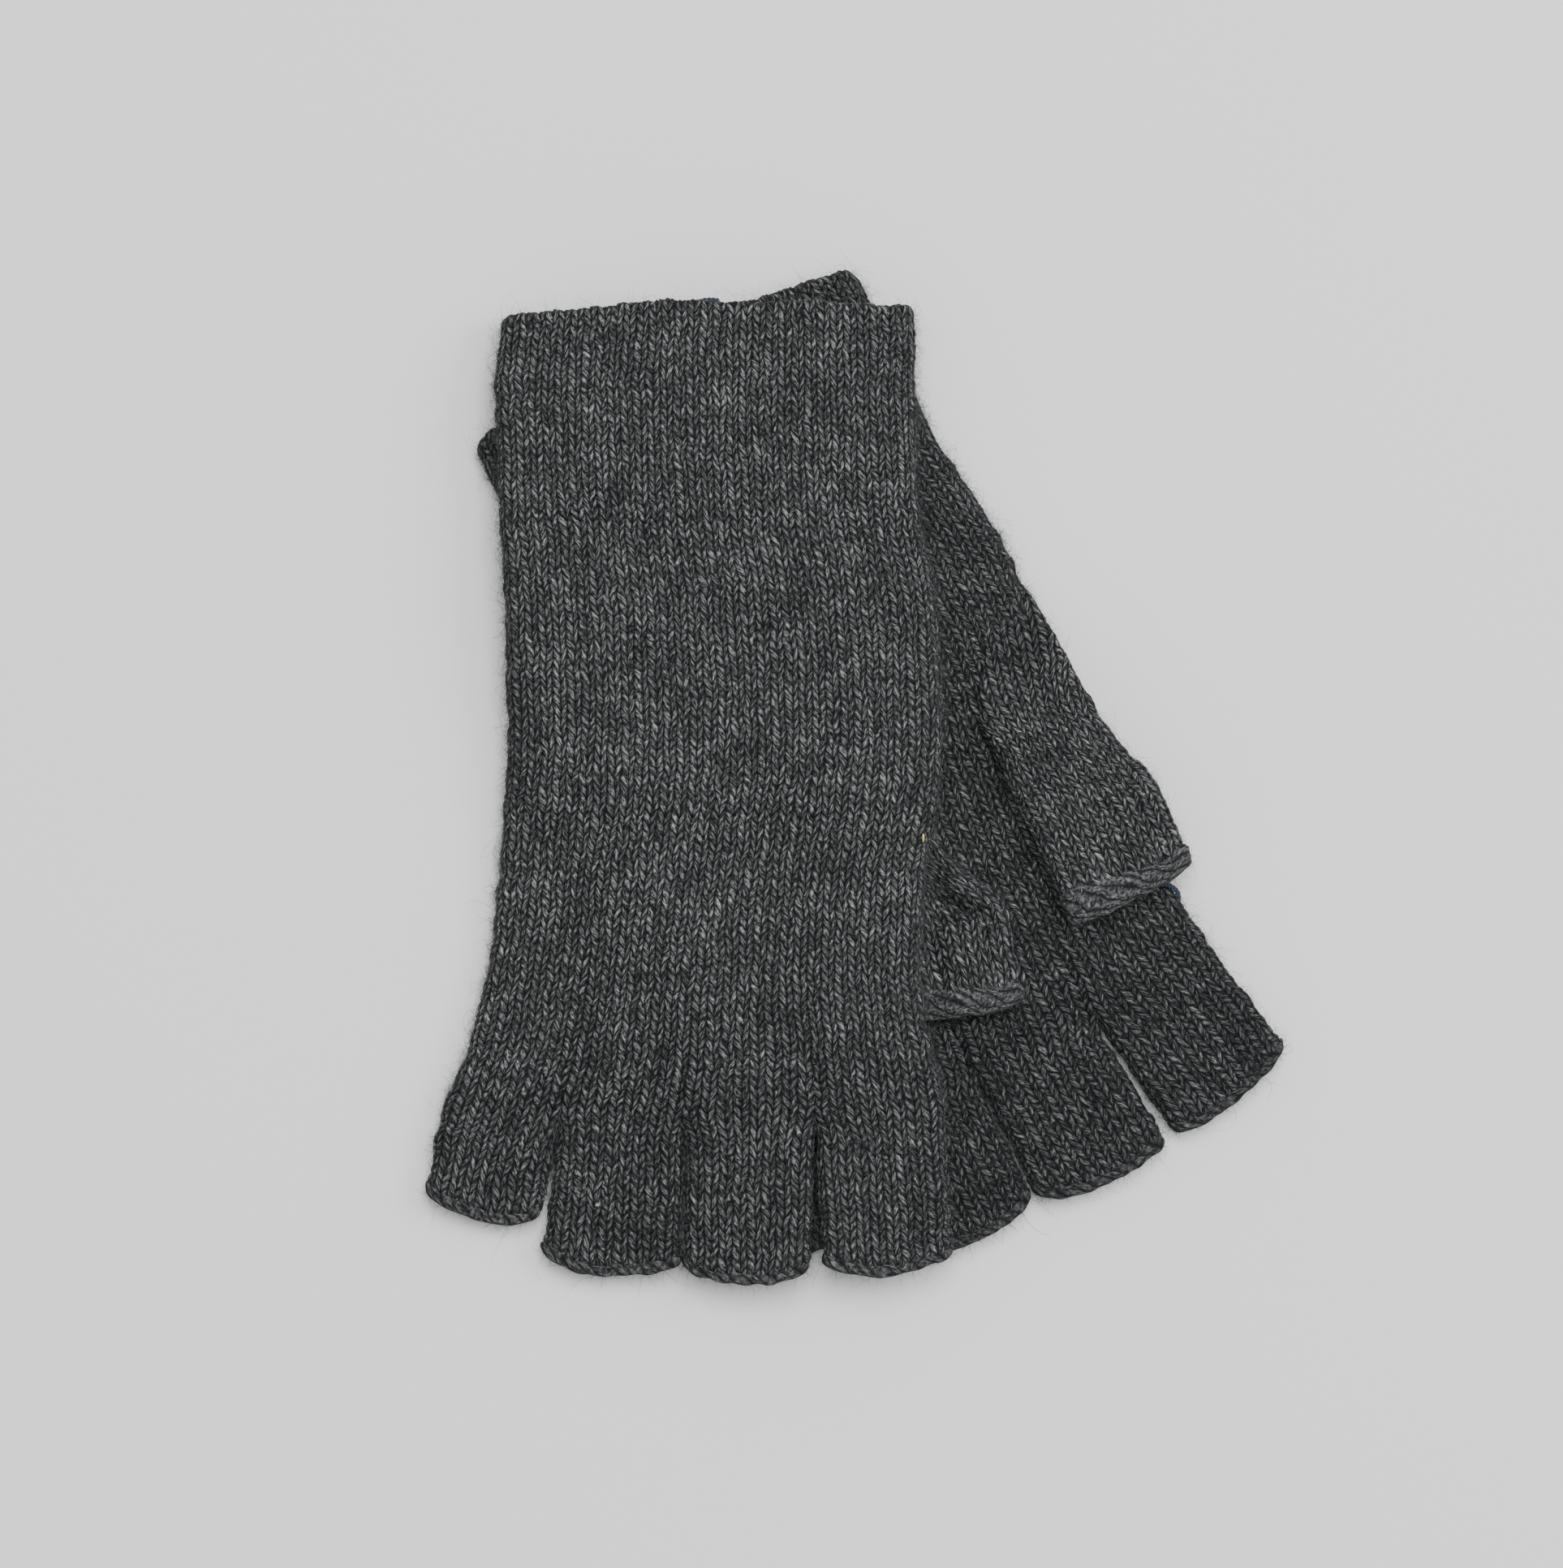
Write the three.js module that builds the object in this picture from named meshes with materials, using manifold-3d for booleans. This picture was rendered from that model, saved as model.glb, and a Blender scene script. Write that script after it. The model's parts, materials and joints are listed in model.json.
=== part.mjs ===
// A pair of knitted fingerless gloves, laid flat and stacked palm to palm: the left glove lies palm up
// on the surface, and the right glove lies across it, back up. Millimetres, +Z up. The fingers point
// towards -Y, and the origin is under the middle of the pair, on the surface that it lies on.
// Each glove is drawn in its own plane: u runs across it towards the thumb, v from cuff to fingertips.

import * as THREE from 'three';
import { mergeVertices } from 'three/addons/utils/BufferGeometryUtils.js';
import Module from 'manifold-3d';

// Fabric
const LAYER = 7;              // a glove lying flat: two walls and the air between them
const WALL = 1.2;             // one knitted wall
const GAP = 0.3;              // clearance between pieces that touch
const STACK = LAYER + GAP;    // where a glove lies on the glove below it
const THUMB_LAYER = 6.8;      // a thumb stall lying flat
const TUCKED_LAYER = 3.4;     // the part of a thumb stall that the hand presses flat

// Plan of both gloves, as distances from the cuff's edge
const CUFF_LENGTH = 48;
const EDGE_LENGTH = 3;        // the rolled first courses of the cuff
const FINGER_ROOT = 176;
const HEM_LENGTH = 3.2;       // the bind-off at the end of each stall
const HEM_SWELL = 0.35;

// Half-widths of cuff and hand, as [v, distance from the glove's middle line]
const LITTLE_SIDE = [[0, 44.5], [20, 45.7], [92, 43.5], [135, 47], [160, 51.5], [FINGER_ROOT, 57]];
const THUMB_SIDE = [
  [0, 45], [46, 46.2], [64, 49.8], [100, 51.3], [128, 48.5], [150, 48.5], [FINGER_ROOT, 51.8],
];

// The cuff's edge is slightly bowed: its corners lie lower than its middle, fading out along the cuff
const CUFF_CORNERS = { little: 3.2, thumb: 1.4, middle: -0.5, fade: 26 };

// Stalls: u at the root's middle, widths at root and tip, length, and lean towards the thumb in degrees
const RIGHT_FINGERS = {
  little: { root: -44.3, widths: [24.8, 24.4], length: 23.5, lean: -14 },
  ring: { root: -18.5, widths: [26, 29.2], length: 35.2, lean: -4 },
  middle: { root: 9.4, widths: [27.9, 27.2], length: 36.6, lean: -1 },
  index: { root: 37.8, widths: [27.4, 27.6], length: 36, lean: 3 },
};
const LEFT_FINGERS = {
  ...RIGHT_FINGERS,
  ring: { root: -18.3, widths: [25.9, 27], length: 35.2, lean: -1.5 },
  middle: { root: 9.4, widths: [27.9, 29], length: 35.5, lean: 3.5 },
  index: { root: 38, widths: [27.2, 27.6], length: 32.5, lean: 10.5 },
};
const STALLS = { left: LEFT_FINGERS, right: RIGHT_FINGERS };

// A stall's end is rounded: its middle runs past the stall's length, and its corners stop short of it
const TIP = { middle: 1.4, bow: 2.9, corner: 1.1, from: 0.35 };
const THUMB_TIP = { middle: 0, bow: 0.5, corner: 1.3, from: 0.5 };

const THUMB_HALF = 14.5;
const THUMB_FULL_AFTER = 22;     // along the stall, where its outer side is full width
const THUMBS = {
  left: { root: [43.2, 116], length: 39.5, lean: 0, outerRoot: 9.2 },
  right: { root: [46.6, 116.3], length: 38.5, lean: 15, outerRoot: 3 },
};
const GUSSET_START = { left: 88, right: 97 };
const GUSSET_START_HEIGHT = 1.9;
const GUSSET_INSET = 1.5;        // its outer foot, inside the hand's edge
const UNPRESSED = [49, 55.5];     // u where the right thumb comes out from under the hand, and is full again
const THUMB_HOLE = { u: 42, v: 107, width: 12, length: 12, depth: 4 };

// How the gloves lie
const GLOVES = {
  left: { cuff: [-41.8, 92.9], turn: 24.6, stretch: 0.965 },
  right: { cuff: [-32.9, 102.4], turn: 0, stretch: 1 },
};
const DRAPE = [5, 38];        // beside the left glove: where the right one starts down, and lies flat
const TUCK = { u: [8, 31], rise: [80, 104], fall: [158, 175] };

// Small pieces
const STAPLE = { at: [47.3, 116.4], length: 2.1, radius: 0.3 };
const YARN_RADIUS = 0.45;
const YARN_SIDES = 8;

// How finely each tube is drawn: points over half its section, and steps along it
const SECTIONS = {
  edge: { half: 12, steps: 1 },
  cuff: { half: 12, steps: 3 },
  hand: { half: 12, steps: 15 },
  gusset: { half: 8, steps: 5 },
  thumb: { half: 9, steps: 6 },
  finger: { half: 8, steps: 4 },
  hemSteps: 2,
};

const KNIT = { color: 0x444545, roughness: 0.95, metalness: 0 };
const HEM_KNIT = { color: 0x4b4c4d, roughness: 0.95, metalness: 0 };
const BRASS = { color: 0xb08a4a, roughness: 0.35, metalness: 1 };
const NAVY_YARN = { color: 0x2c3448, roughness: 0.9, metalness: 0 };

const radians = THREE.MathUtils.degToRad;
const { lerp, smoothstep } = THREE.MathUtils;

const wasm = await Module();
wasm.setup();

// A smooth curve through [v, value] points
function through(points, v) {
  let i = 1;
  while (i < points.length - 1 && v > points[i][0]) i += 1;
  const [v0, a0] = points[i - 1];
  const [v1, a1] = points[i];
  const slope = (k) => {
    const before = points[Math.max(k - 1, 0)];
    const after = points[Math.min(k + 1, points.length - 1)];
    return (after[1] - before[1]) / (after[0] - before[0]);
  };
  const span = v1 - v0;
  const t = THREE.MathUtils.clamp((v - v0) / span, 0, 1);
  const t2 = t * t;
  const t3 = t2 * t;
  return (2 * t3 - 3 * t2 + 1) * a0 + (t3 - 2 * t2 + t) * span * slope(i - 1)
    + (3 * t2 - 2 * t3) * a1 + (t3 - t2) * span * slope(i);
}

// A point of the right glove's plane, in the left glove's
function onLeftGlove(u, v) {
  const { left, right } = GLOVES;
  const turn = radians(left.turn);
  const x = right.cuff[0] + u - left.cuff[0];
  const y = right.cuff[1] - v * right.stretch - left.cuff[1];
  return [x * Math.cos(turn) + y * Math.sin(turn), (x * Math.sin(turn) - y * Math.cos(turn)) / left.stretch];
}

// How far the thumb under the right hand lifts it
function tuck(u, v) {
  return (TUCKED_LAYER + GAP) * smoothstep(u, ...TUCK.u)
    * smoothstep(v, ...TUCK.rise) * (1 - smoothstep(v, ...TUCK.fall));
}

// Height of the right glove's lower face: on the left glove, and down to the surface beside it
function drape(u, v) {
  const [lowerU, along] = onLeftGlove(u, v);
  const beside = Math.max(-through(LITTLE_SIDE, along) - lowerU, lowerU - through(THUMB_SIDE, along), 0);
  const beyond = Math.max(-along, 0);
  return STACK * (1 - smoothstep(Math.hypot(beside, beyond), ...DRAPE)) + tuck(u, v);
}

const FLOOR = { left: () => 0, right: drape };

// One closed body with its faces outwards, from vertices and quads
function closedBody(vertices, quads) {
  const triangles = quads.flatMap(([a, b, c, d]) => [[a, b, c], [a, c, d]]);
  const corner = (i) => new THREE.Vector3(...vertices[i]);
  const volume = triangles.reduce((sum, [a, b, c]) => sum + corner(a).dot(corner(b).cross(corner(c))), 0);
  if (volume < 0) triangles.forEach((triangle) => triangle.reverse());
  const geometry = new THREE.BufferGeometry();
  geometry.setAttribute('position', new THREE.Float32BufferAttribute(vertices.flat(), 3));
  geometry.setIndex(triangles.flat());
  geometry.computeVertexNormals();
  return geometry;
}

// A wall between an outer and an inner contour, carried through sections; round contours close on themselves
function walledLoft(sections, round) {
  const count = sections[0].outer.length;
  const vertices = sections.flatMap(({ outer, inner }) => [...outer, ...inner]);
  const outer = (j, k) => j * 2 * count + (k % count);
  const inner = (j, k) => outer(j, k) + count;
  const quads = [];
  const steps = round ? count : count - 1;
  for (let j = 0; j < sections.length - 1; j += 1) {
    for (let k = 0; k < steps; k += 1) {
      quads.push([outer(j, k), outer(j, k + 1), outer(j + 1, k + 1), outer(j + 1, k)]);
      quads.push([inner(j, k), inner(j + 1, k), inner(j + 1, k + 1), inner(j, k + 1)]);
    }
    if (!round) {
      quads.push([outer(j, 0), outer(j + 1, 0), inner(j + 1, 0), inner(j, 0)]);
      quads.push([outer(j, steps), inner(j, steps), inner(j + 1, steps), outer(j + 1, steps)]);
    }
  }
  const last = sections.length - 1;
  for (let k = 0; k < steps; k += 1) {
    quads.push([outer(0, k), inner(0, k), inner(0, k + 1), outer(0, k + 1)]);
    quads.push([outer(last, k), outer(last, k + 1), inner(last, k + 1), inner(last, k)]);
  }
  return closedBody(vertices, quads);
}

// How full a flat section is at a distance from its edge: its edges are round
function fullness(fromEdge, radius) {
  const reach = THREE.MathUtils.clamp(fromEdge / radius, 0, 1);
  return Math.sqrt(1 - (1 - reach) ** 2);
}

// A point of a strip's section, at a share of its width
function across(station, share, inset) {
  const { at, lean, left, right, bow } = station;
  const a = lerp(-left + inset, right - inset, share);
  const along = bow ? bow(a / (a < 0 ? left : right)) : 0;
  const u = at[0] + a * Math.cos(lean) + along * Math.sin(lean);
  const v = at[1] - a * Math.sin(lean) + along * Math.cos(lean);
  const fromEdge = Math.min(a + left - inset, right - inset - a);
  return { u, v, fromEdge };
}

// The closed contour of a flat tube: over the top, then back under
function tubeContour(station, half, floor, layer, inset) {
  const contour = [];
  for (let k = 0; k < 2 * half; k += 1) {
    const share = (1 - Math.cos(Math.PI * k / half)) / 2;
    const { u, v, fromEdge } = across(station, share, inset);
    const height = layer(u, v) - 2 * inset;
    const rise = fullness(fromEdge, height / 2) * height / 2;
    const middle = floor(u, v) + inset + height / 2;
    contour.push([u, v, middle + (k <= half ? rise : -rise)]);
  }
  return contour;
}

// The open contour of an arch, from foot to foot
function archContour(station, half, foot, crown, inset) {
  const contour = [];
  for (let k = 0; k <= half; k += 1) {
    const share = (1 - Math.cos(Math.PI * k / half)) / 2;
    const { u, v, fromEdge } = across(station, share, inset);
    const rise = crown(u, v) - foot(u, v);
    const height = Math.abs(rise) - inset;
    contour.push([u, v, foot(u, v) + Math.sign(rise) * height * fullness(fromEdge, height)]);
  }
  return contour;
}

// Glove plane to the glove's group: v points down its -Y axis
function laid(contour, side) {
  return contour.map(([u, v, z]) => [u, -v * GLOVES[side].stretch, z]);
}

function flatTube(side, strip, { half, steps, floor = FLOOR[side], layer = () => LAYER }) {
  const sections = [];
  for (let j = 0; j <= steps; j += 1) {
    const station = strip(j / steps);
    sections.push({
      outer: laid(tubeContour(station, half, floor, layer, 0), side),
      inner: laid(tubeContour(station, half, floor, layer, WALL), side),
    });
  }
  return walledLoft(sections, true);
}

// How far each share of the width, -1 to 1, lies down the glove from a straight cuff edge
function cuffBow(v) {
  const { little, thumb, middle, fade } = CUFF_CORNERS;
  const amount = 1 - smoothstep(v, 0, fade);
  return (x) => amount * (little * Math.max(-x, 0) ** 3 + thumb * Math.max(x, 0) ** 4 + middle * (1 - x * x));
}

// The same for a stall's rounded end, growing towards it
function tipBow({ middle, bow, corner, from }, s, length) {
  const amount = smoothstep(s, from * length, length);
  return (x) => amount * (middle - bow * x ** 2 - corner * x ** 6);
}

// Cuff and hand are stretches of one tube
function bodyStrip(from, to) {
  return (t) => {
    const v = lerp(from, to, t);
    return {
      at: [0, v], lean: 0, left: through(LITTLE_SIDE, v), right: through(THUMB_SIDE, v), bow: cuffBow(v),
    };
  };
}

// A finger stall leaves the hand square and turns to its lean by half its length
function fingerStrip(side, name, from, to) {
  const { root, widths, length, lean: degrees } = STALLS[side][name];
  const lean = radians(degrees);
  return (t) => {
    const s = lerp(from, to, t);
    const half = lerp(widths[0], widths[1], s / length) / 2;
    return {
      at: [root + s * Math.sin(lean), FINGER_ROOT + s * Math.cos(lean)],
      lean: lean * Math.min(1, 2 * s / length),
      left: half,
      right: half,
      bow: tipBow(TIP, s, length),
    };
  };
}

// A thumb stall is narrow on its outer side where it leaves the hand
function thumbStrip(side, from, to) {
  const { root, lean, outerRoot, length } = THUMBS[side];
  const angle = radians(lean);
  return (t) => {
    const s = lerp(from, to, t);
    return {
      at: [root[0] + s * Math.sin(angle), root[1] + s * Math.cos(angle)],
      lean: angle,
      left: THUMB_HALF,
      right: lerp(outerRoot, THUMB_HALF, smoothstep(s, 0, THUMB_FULL_AFTER)),
      bow: tipBow(THUMB_TIP, s, length),
    };
  };
}

// A stall's strip swells slightly at its hem
function swollen(strip, swell) {
  return (t) => {
    const station = strip(t);
    return { ...station, left: station.left + swell(t), right: station.right + swell(t) };
  };
}

// From a quarter of a full swell where the hem starts, down to none at its end
const hemSwell = (t) => HEM_SWELL * Math.sin(Math.PI * lerp(0.25, 1, t));

// The right thumb is pressed flat where the hand lies on it
function thumbLayer(side) {
  const pressed = (u) => lerp(TUCKED_LAYER, THUMB_LAYER, smoothstep(u, ...UNPRESSED));
  return side === 'right' ? pressed : () => THUMB_LAYER;
}

const thumbFloor = () => STACK;

// The gusset widens the hand into the thumb: an arch, open to the hand's thumb hole
function gusset(side) {
  const start = GUSSET_START[side];
  const end = thumbStrip(side, -GAP, 0)(0);
  const { half, steps } = SECTIONS.gusset;
  const crownHeight = (v) => lerp(GUSSET_START_HEIGHT, THUMB_LAYER, smoothstep(v, start, end.at[1]));
  const foot = side === 'left' ? thumbFloor : (u, v) => drape(u, v) - GAP;
  const crown = side === 'left' ? (u, v) => STACK + crownHeight(v) : thumbFloor;
  const sections = [];
  for (let j = 0; j <= steps; j += 1) {
    const t = j / steps;
    const v = lerp(start, end.at[1], t);
    const outerEdge = through(THUMB_SIDE, v) - GUSSET_INSET;
    const station = {
      at: [end.at[0], v],
      lean: end.lean * t,
      left: THUMB_HALF,
      right: lerp(outerEdge - end.at[0], end.right, t),
    };
    sections.push({
      outer: laid(archContour(station, half, foot, crown, 0), side),
      inner: laid(archContour(station, half, foot, crown, WALL), side),
    });
  }
  return walledLoft(sections, false);
}

function toManifold(geometry) {
  const bare = geometry.clone();
  bare.deleteAttribute('normal');
  if (bare.getAttribute('uv')) bare.deleteAttribute('uv');
  const merged = mergeVertices(bare);
  return new wasm.Manifold(new wasm.Mesh({
    numProp: 3,
    vertProperties: new Float32Array(merged.getAttribute('position').array),
    triVerts: new Uint32Array(merged.getIndex().array),
  }));
}

function fromManifold(solid) {
  const mesh = solid.getMesh();
  const geometry = new THREE.BufferGeometry();
  geometry.setAttribute('position', new THREE.BufferAttribute(mesh.vertProperties, 3));
  geometry.setIndex(new THREE.BufferAttribute(mesh.triVerts, 1));
  geometry.computeVertexNormals();
  return geometry;
}

// The hand, with the hole in its palm wall that the thumb goes through
function hand(side) {
  const tube = flatTube(side, bodyStrip(CUFF_LENGTH + GAP, FINGER_ROOT - GAP), SECTIONS.hand);
  const { u, v, width, length, depth } = THUMB_HOLE;
  const palmFace = side === 'left' ? LAYER : drape(u, v);
  const hole = new THREE.BoxGeometry(width, length, depth);
  hole.translate(u, -v * GLOVES[side].stretch, palmFace);
  return fromManifold(toManifold(tube).subtract(toManifold(hole)));
}

// A round thread along a curve
function thread(points) {
  const path = new THREE.CatmullRomCurve3(points.map((point) => new THREE.Vector3(...point)));
  const section = new THREE.Shape();
  section.absarc(0, 0, YARN_RADIUS, 0, 2 * Math.PI);
  return new THREE.ExtrudeGeometry(section, {
    steps: 2 * points.length, curveSegments: YARN_SIDES, extrudePath: path, bevelEnabled: false,
  });
}

// The end of the marking yarn, looping out of the cuff's mouth
function cuffYarn() {
  const z = drape(0, 0) + LAYER / 2;
  return thread([
    [-2.8, -3.5, z], [-2.4, 0.4, z], [-0.6, 1.9, z], [1.4, 1.7, z], [2.6, 0.2, z], [2.8, -3.5, z],
  ]);
}

// The end of the same yarn on the left glove, over the hand's edge beside the thumb's hem
function palmYarn() {
  const z = LAYER + GAP + YARN_RADIUS;
  return thread([[49.6, -153.2, z], [51, -152.6, z + 0.2], [52.4, -153.6, z - 0.2], [52.9, -155.2, z - 0.6]]);
}

function staple() {
  const bar = new THREE.CapsuleGeometry(STAPLE.radius, STAPLE.length - 2 * STAPLE.radius, 4, 10);
  const [u, v] = STAPLE.at;
  bar.translate(u, -v, drape(u, v) + LAYER + STAPLE.radius);
  return bar;
}

function addPiece(group, name, geometry, look) {
  const mesh = new THREE.Mesh(geometry, new THREE.MeshStandardMaterial(look));
  mesh.name = name;
  group.add(mesh);
}

function addStall(group, side, name, strip, length, options) {
  const hemStart = length - HEM_LENGTH;
  addPiece(group, `${side}_${name}_stall`, flatTube(side, strip(0, hemStart - GAP), options), KNIT);
  const layer = options.layer ?? (() => LAYER);
  const hem = swollen(strip(hemStart, length), hemSwell);
  const sections = { ...options, steps: SECTIONS.hemSteps, layer };
  addPiece(group, `${side}_${name}_hem`, flatTube(side, hem, sections), HEM_KNIT);
}

function glove(side) {
  const { cuff, turn } = GLOVES[side];
  const group = new THREE.Group();
  group.position.set(...cuff, 0);
  group.rotation.z = radians(turn);
  const edge = flatTube(side, bodyStrip(0, EDGE_LENGTH), SECTIONS.edge);
  addPiece(group, `${side}_cuff_edge`, edge, HEM_KNIT);
  const cuffTube = flatTube(side, bodyStrip(EDGE_LENGTH + GAP, CUFF_LENGTH), SECTIONS.cuff);
  addPiece(group, `${side}_cuff`, cuffTube, KNIT);
  addPiece(group, `${side}_hand`, hand(side), KNIT);
  addPiece(group, `${side}_thumb_gusset`, gusset(side), KNIT);
  addStall(group, side, 'thumb', (a, b) => thumbStrip(side, a, b), THUMBS[side].length, {
    ...SECTIONS.thumb, floor: thumbFloor, layer: thumbLayer(side),
  });
  for (const [name, { length }] of Object.entries(STALLS[side])) {
    addStall(group, side, name, (a, b) => fingerStrip(side, name, a, b), length, SECTIONS.finger);
  }
  return group;
}

const pair = new THREE.Group();
const left = glove('left');
const right = glove('right');
addPiece(left, 'left_marker_yarn', palmYarn(), NAVY_YARN);
addPiece(right, 'right_marker_yarn', cuffYarn(), NAVY_YARN);
addPiece(right, 'brass_staple', staple(), BRASS);
pair.add(left, right);

export default pair;
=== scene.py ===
"""A pair of charcoal knitted fingerless gloves, laid flat and stacked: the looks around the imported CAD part.

Each glove is drawn in its own plane, in millimetres: u runs across it towards the thumb, v from cuff to
fingertips. Every tube of fabric is a closed shell whose outer face carries the relief of the stitches.
"""

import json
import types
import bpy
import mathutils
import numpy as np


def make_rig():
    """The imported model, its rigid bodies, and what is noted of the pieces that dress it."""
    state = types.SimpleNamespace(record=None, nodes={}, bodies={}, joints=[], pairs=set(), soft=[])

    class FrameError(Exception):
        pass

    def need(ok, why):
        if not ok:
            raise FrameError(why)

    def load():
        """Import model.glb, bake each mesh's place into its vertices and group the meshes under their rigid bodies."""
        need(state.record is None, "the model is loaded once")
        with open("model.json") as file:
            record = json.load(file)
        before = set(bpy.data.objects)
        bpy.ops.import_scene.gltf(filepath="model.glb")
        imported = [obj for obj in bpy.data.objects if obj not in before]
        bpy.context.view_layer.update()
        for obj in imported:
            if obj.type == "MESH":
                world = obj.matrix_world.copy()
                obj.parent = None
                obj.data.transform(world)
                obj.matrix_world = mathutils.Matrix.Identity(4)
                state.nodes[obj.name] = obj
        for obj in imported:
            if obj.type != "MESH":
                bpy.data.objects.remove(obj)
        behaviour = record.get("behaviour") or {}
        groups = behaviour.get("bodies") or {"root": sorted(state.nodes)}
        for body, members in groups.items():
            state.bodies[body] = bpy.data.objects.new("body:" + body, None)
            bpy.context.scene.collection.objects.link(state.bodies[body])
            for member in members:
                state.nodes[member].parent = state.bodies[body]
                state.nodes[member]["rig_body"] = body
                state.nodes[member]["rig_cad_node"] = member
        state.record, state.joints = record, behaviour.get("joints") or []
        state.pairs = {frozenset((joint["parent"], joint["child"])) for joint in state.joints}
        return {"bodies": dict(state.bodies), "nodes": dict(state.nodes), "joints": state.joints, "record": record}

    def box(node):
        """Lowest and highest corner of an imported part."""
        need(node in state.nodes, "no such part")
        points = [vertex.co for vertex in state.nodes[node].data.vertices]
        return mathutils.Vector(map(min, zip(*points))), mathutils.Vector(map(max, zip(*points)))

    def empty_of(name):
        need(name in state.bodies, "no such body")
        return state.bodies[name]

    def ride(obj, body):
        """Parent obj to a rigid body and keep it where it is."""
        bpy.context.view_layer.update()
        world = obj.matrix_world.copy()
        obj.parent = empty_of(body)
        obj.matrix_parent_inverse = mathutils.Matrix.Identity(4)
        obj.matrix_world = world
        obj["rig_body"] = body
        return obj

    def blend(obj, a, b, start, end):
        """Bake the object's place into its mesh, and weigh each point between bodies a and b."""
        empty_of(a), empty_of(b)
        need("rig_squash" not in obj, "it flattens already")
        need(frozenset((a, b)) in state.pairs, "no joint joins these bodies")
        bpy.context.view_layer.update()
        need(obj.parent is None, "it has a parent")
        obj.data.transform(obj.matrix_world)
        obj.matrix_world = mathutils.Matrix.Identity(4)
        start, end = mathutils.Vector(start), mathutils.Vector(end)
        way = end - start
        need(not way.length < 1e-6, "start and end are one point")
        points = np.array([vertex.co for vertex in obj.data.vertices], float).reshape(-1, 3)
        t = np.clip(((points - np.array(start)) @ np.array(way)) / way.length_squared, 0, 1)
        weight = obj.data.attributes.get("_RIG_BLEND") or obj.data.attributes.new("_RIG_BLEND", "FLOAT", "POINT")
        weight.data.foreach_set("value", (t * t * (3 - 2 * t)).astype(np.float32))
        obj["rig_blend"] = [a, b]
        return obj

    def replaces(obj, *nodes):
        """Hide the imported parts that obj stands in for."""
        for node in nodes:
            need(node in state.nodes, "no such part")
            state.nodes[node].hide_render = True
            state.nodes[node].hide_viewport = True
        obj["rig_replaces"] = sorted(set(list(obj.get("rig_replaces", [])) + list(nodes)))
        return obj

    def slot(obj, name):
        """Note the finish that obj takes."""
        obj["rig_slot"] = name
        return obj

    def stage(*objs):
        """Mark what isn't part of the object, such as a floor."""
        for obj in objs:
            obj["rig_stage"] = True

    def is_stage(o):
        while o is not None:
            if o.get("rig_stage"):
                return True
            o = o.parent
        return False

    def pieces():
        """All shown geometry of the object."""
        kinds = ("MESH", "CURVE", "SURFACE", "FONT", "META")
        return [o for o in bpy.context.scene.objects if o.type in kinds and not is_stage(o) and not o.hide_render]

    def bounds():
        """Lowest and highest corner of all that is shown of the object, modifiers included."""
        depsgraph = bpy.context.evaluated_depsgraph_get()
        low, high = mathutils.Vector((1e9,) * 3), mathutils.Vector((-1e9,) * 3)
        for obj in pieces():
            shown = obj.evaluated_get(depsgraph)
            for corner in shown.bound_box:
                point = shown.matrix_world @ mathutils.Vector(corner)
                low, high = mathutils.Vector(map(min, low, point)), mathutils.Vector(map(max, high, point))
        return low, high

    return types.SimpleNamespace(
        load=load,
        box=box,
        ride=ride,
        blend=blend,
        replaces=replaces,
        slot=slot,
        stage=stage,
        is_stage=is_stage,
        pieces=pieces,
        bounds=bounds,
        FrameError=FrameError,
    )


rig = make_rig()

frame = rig.load()

import json
import math

import bpy
import numpy as np

CAD_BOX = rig.bounds()
MM = 0.001

# Fabric, as in the CAD part
LAYER = 7.0
WALL = 1.2
GAP = 0.3
STACK = LAYER + GAP
THUMB_LAYER = 6.8
TUCKED_LAYER = 3.4

# Plan of both gloves
CUFF_LENGTH = 48.0
EDGE_LENGTH = 3.0
FINGER_ROOT = 176.0
HEM_LENGTH = 3.2
LITTLE_SIDE = [(0, 44.5), (20, 45.7), (92, 43.5), (135, 47), (160, 51.5), (FINGER_ROOT, 57)]
THUMB_SIDE = [(0, 45), (46, 46.2), (64, 49.8), (100, 51.3), (128, 48.5), (150, 48.5), (FINGER_ROOT, 51.8)]
RIGHT_FINGERS = {
    "little": dict(root=-44.3, widths=(24.8, 24.4), length=23.5, lean=-14),
    "ring": dict(root=-18.5, widths=(26, 29.2), length=35.2, lean=-4),
    "middle": dict(root=9.4, widths=(27.9, 27.2), length=36.6, lean=-1),
    "index": dict(root=37.8, widths=(27.4, 27.6), length=36, lean=3),
}
LEFT_FINGERS = {
    "little": RIGHT_FINGERS["little"],
    "ring": dict(root=-18.3, widths=(25.9, 27), length=35.2, lean=-1.5),
    "middle": dict(root=9.4, widths=(27.9, 29), length=35.5, lean=3.5),
    "index": dict(root=38, widths=(27.2, 27.6), length=32.5, lean=10.5),
}
FINGERS = {"left": LEFT_FINGERS, "right": RIGHT_FINGERS}
THUMB_HALF = 14.5
THUMB_FULL_AFTER = 22
THUMBS = {
    "left": dict(root=(43.2, 116), length=39.5, lean=0, outer_root=9.2),
    "right": dict(root=(46.6, 116.3), length=38.5, lean=15, outer_root=3),
}
THUMB_TIPS = {"left": (2.2, -1.0), "right": (1.7, 1.7)}
THUMB_TAPER = {"left": 0.0, "right": 2.0}
GUSSET_START = {"left": 84, "right": 97}
GUSSET_INSET = {"left": 1.5, "right": 3.0}
GUSSET_THIN = 0.9
GUSSET_SUNK = 1.1
GUSSET_HALF = 4.0
GUSSET_RISE = 16                    # length over which a gusset comes out of its hand
STAPLE = dict(at=(47.3, 116.4), length=2.1, radius=0.3)
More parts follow.
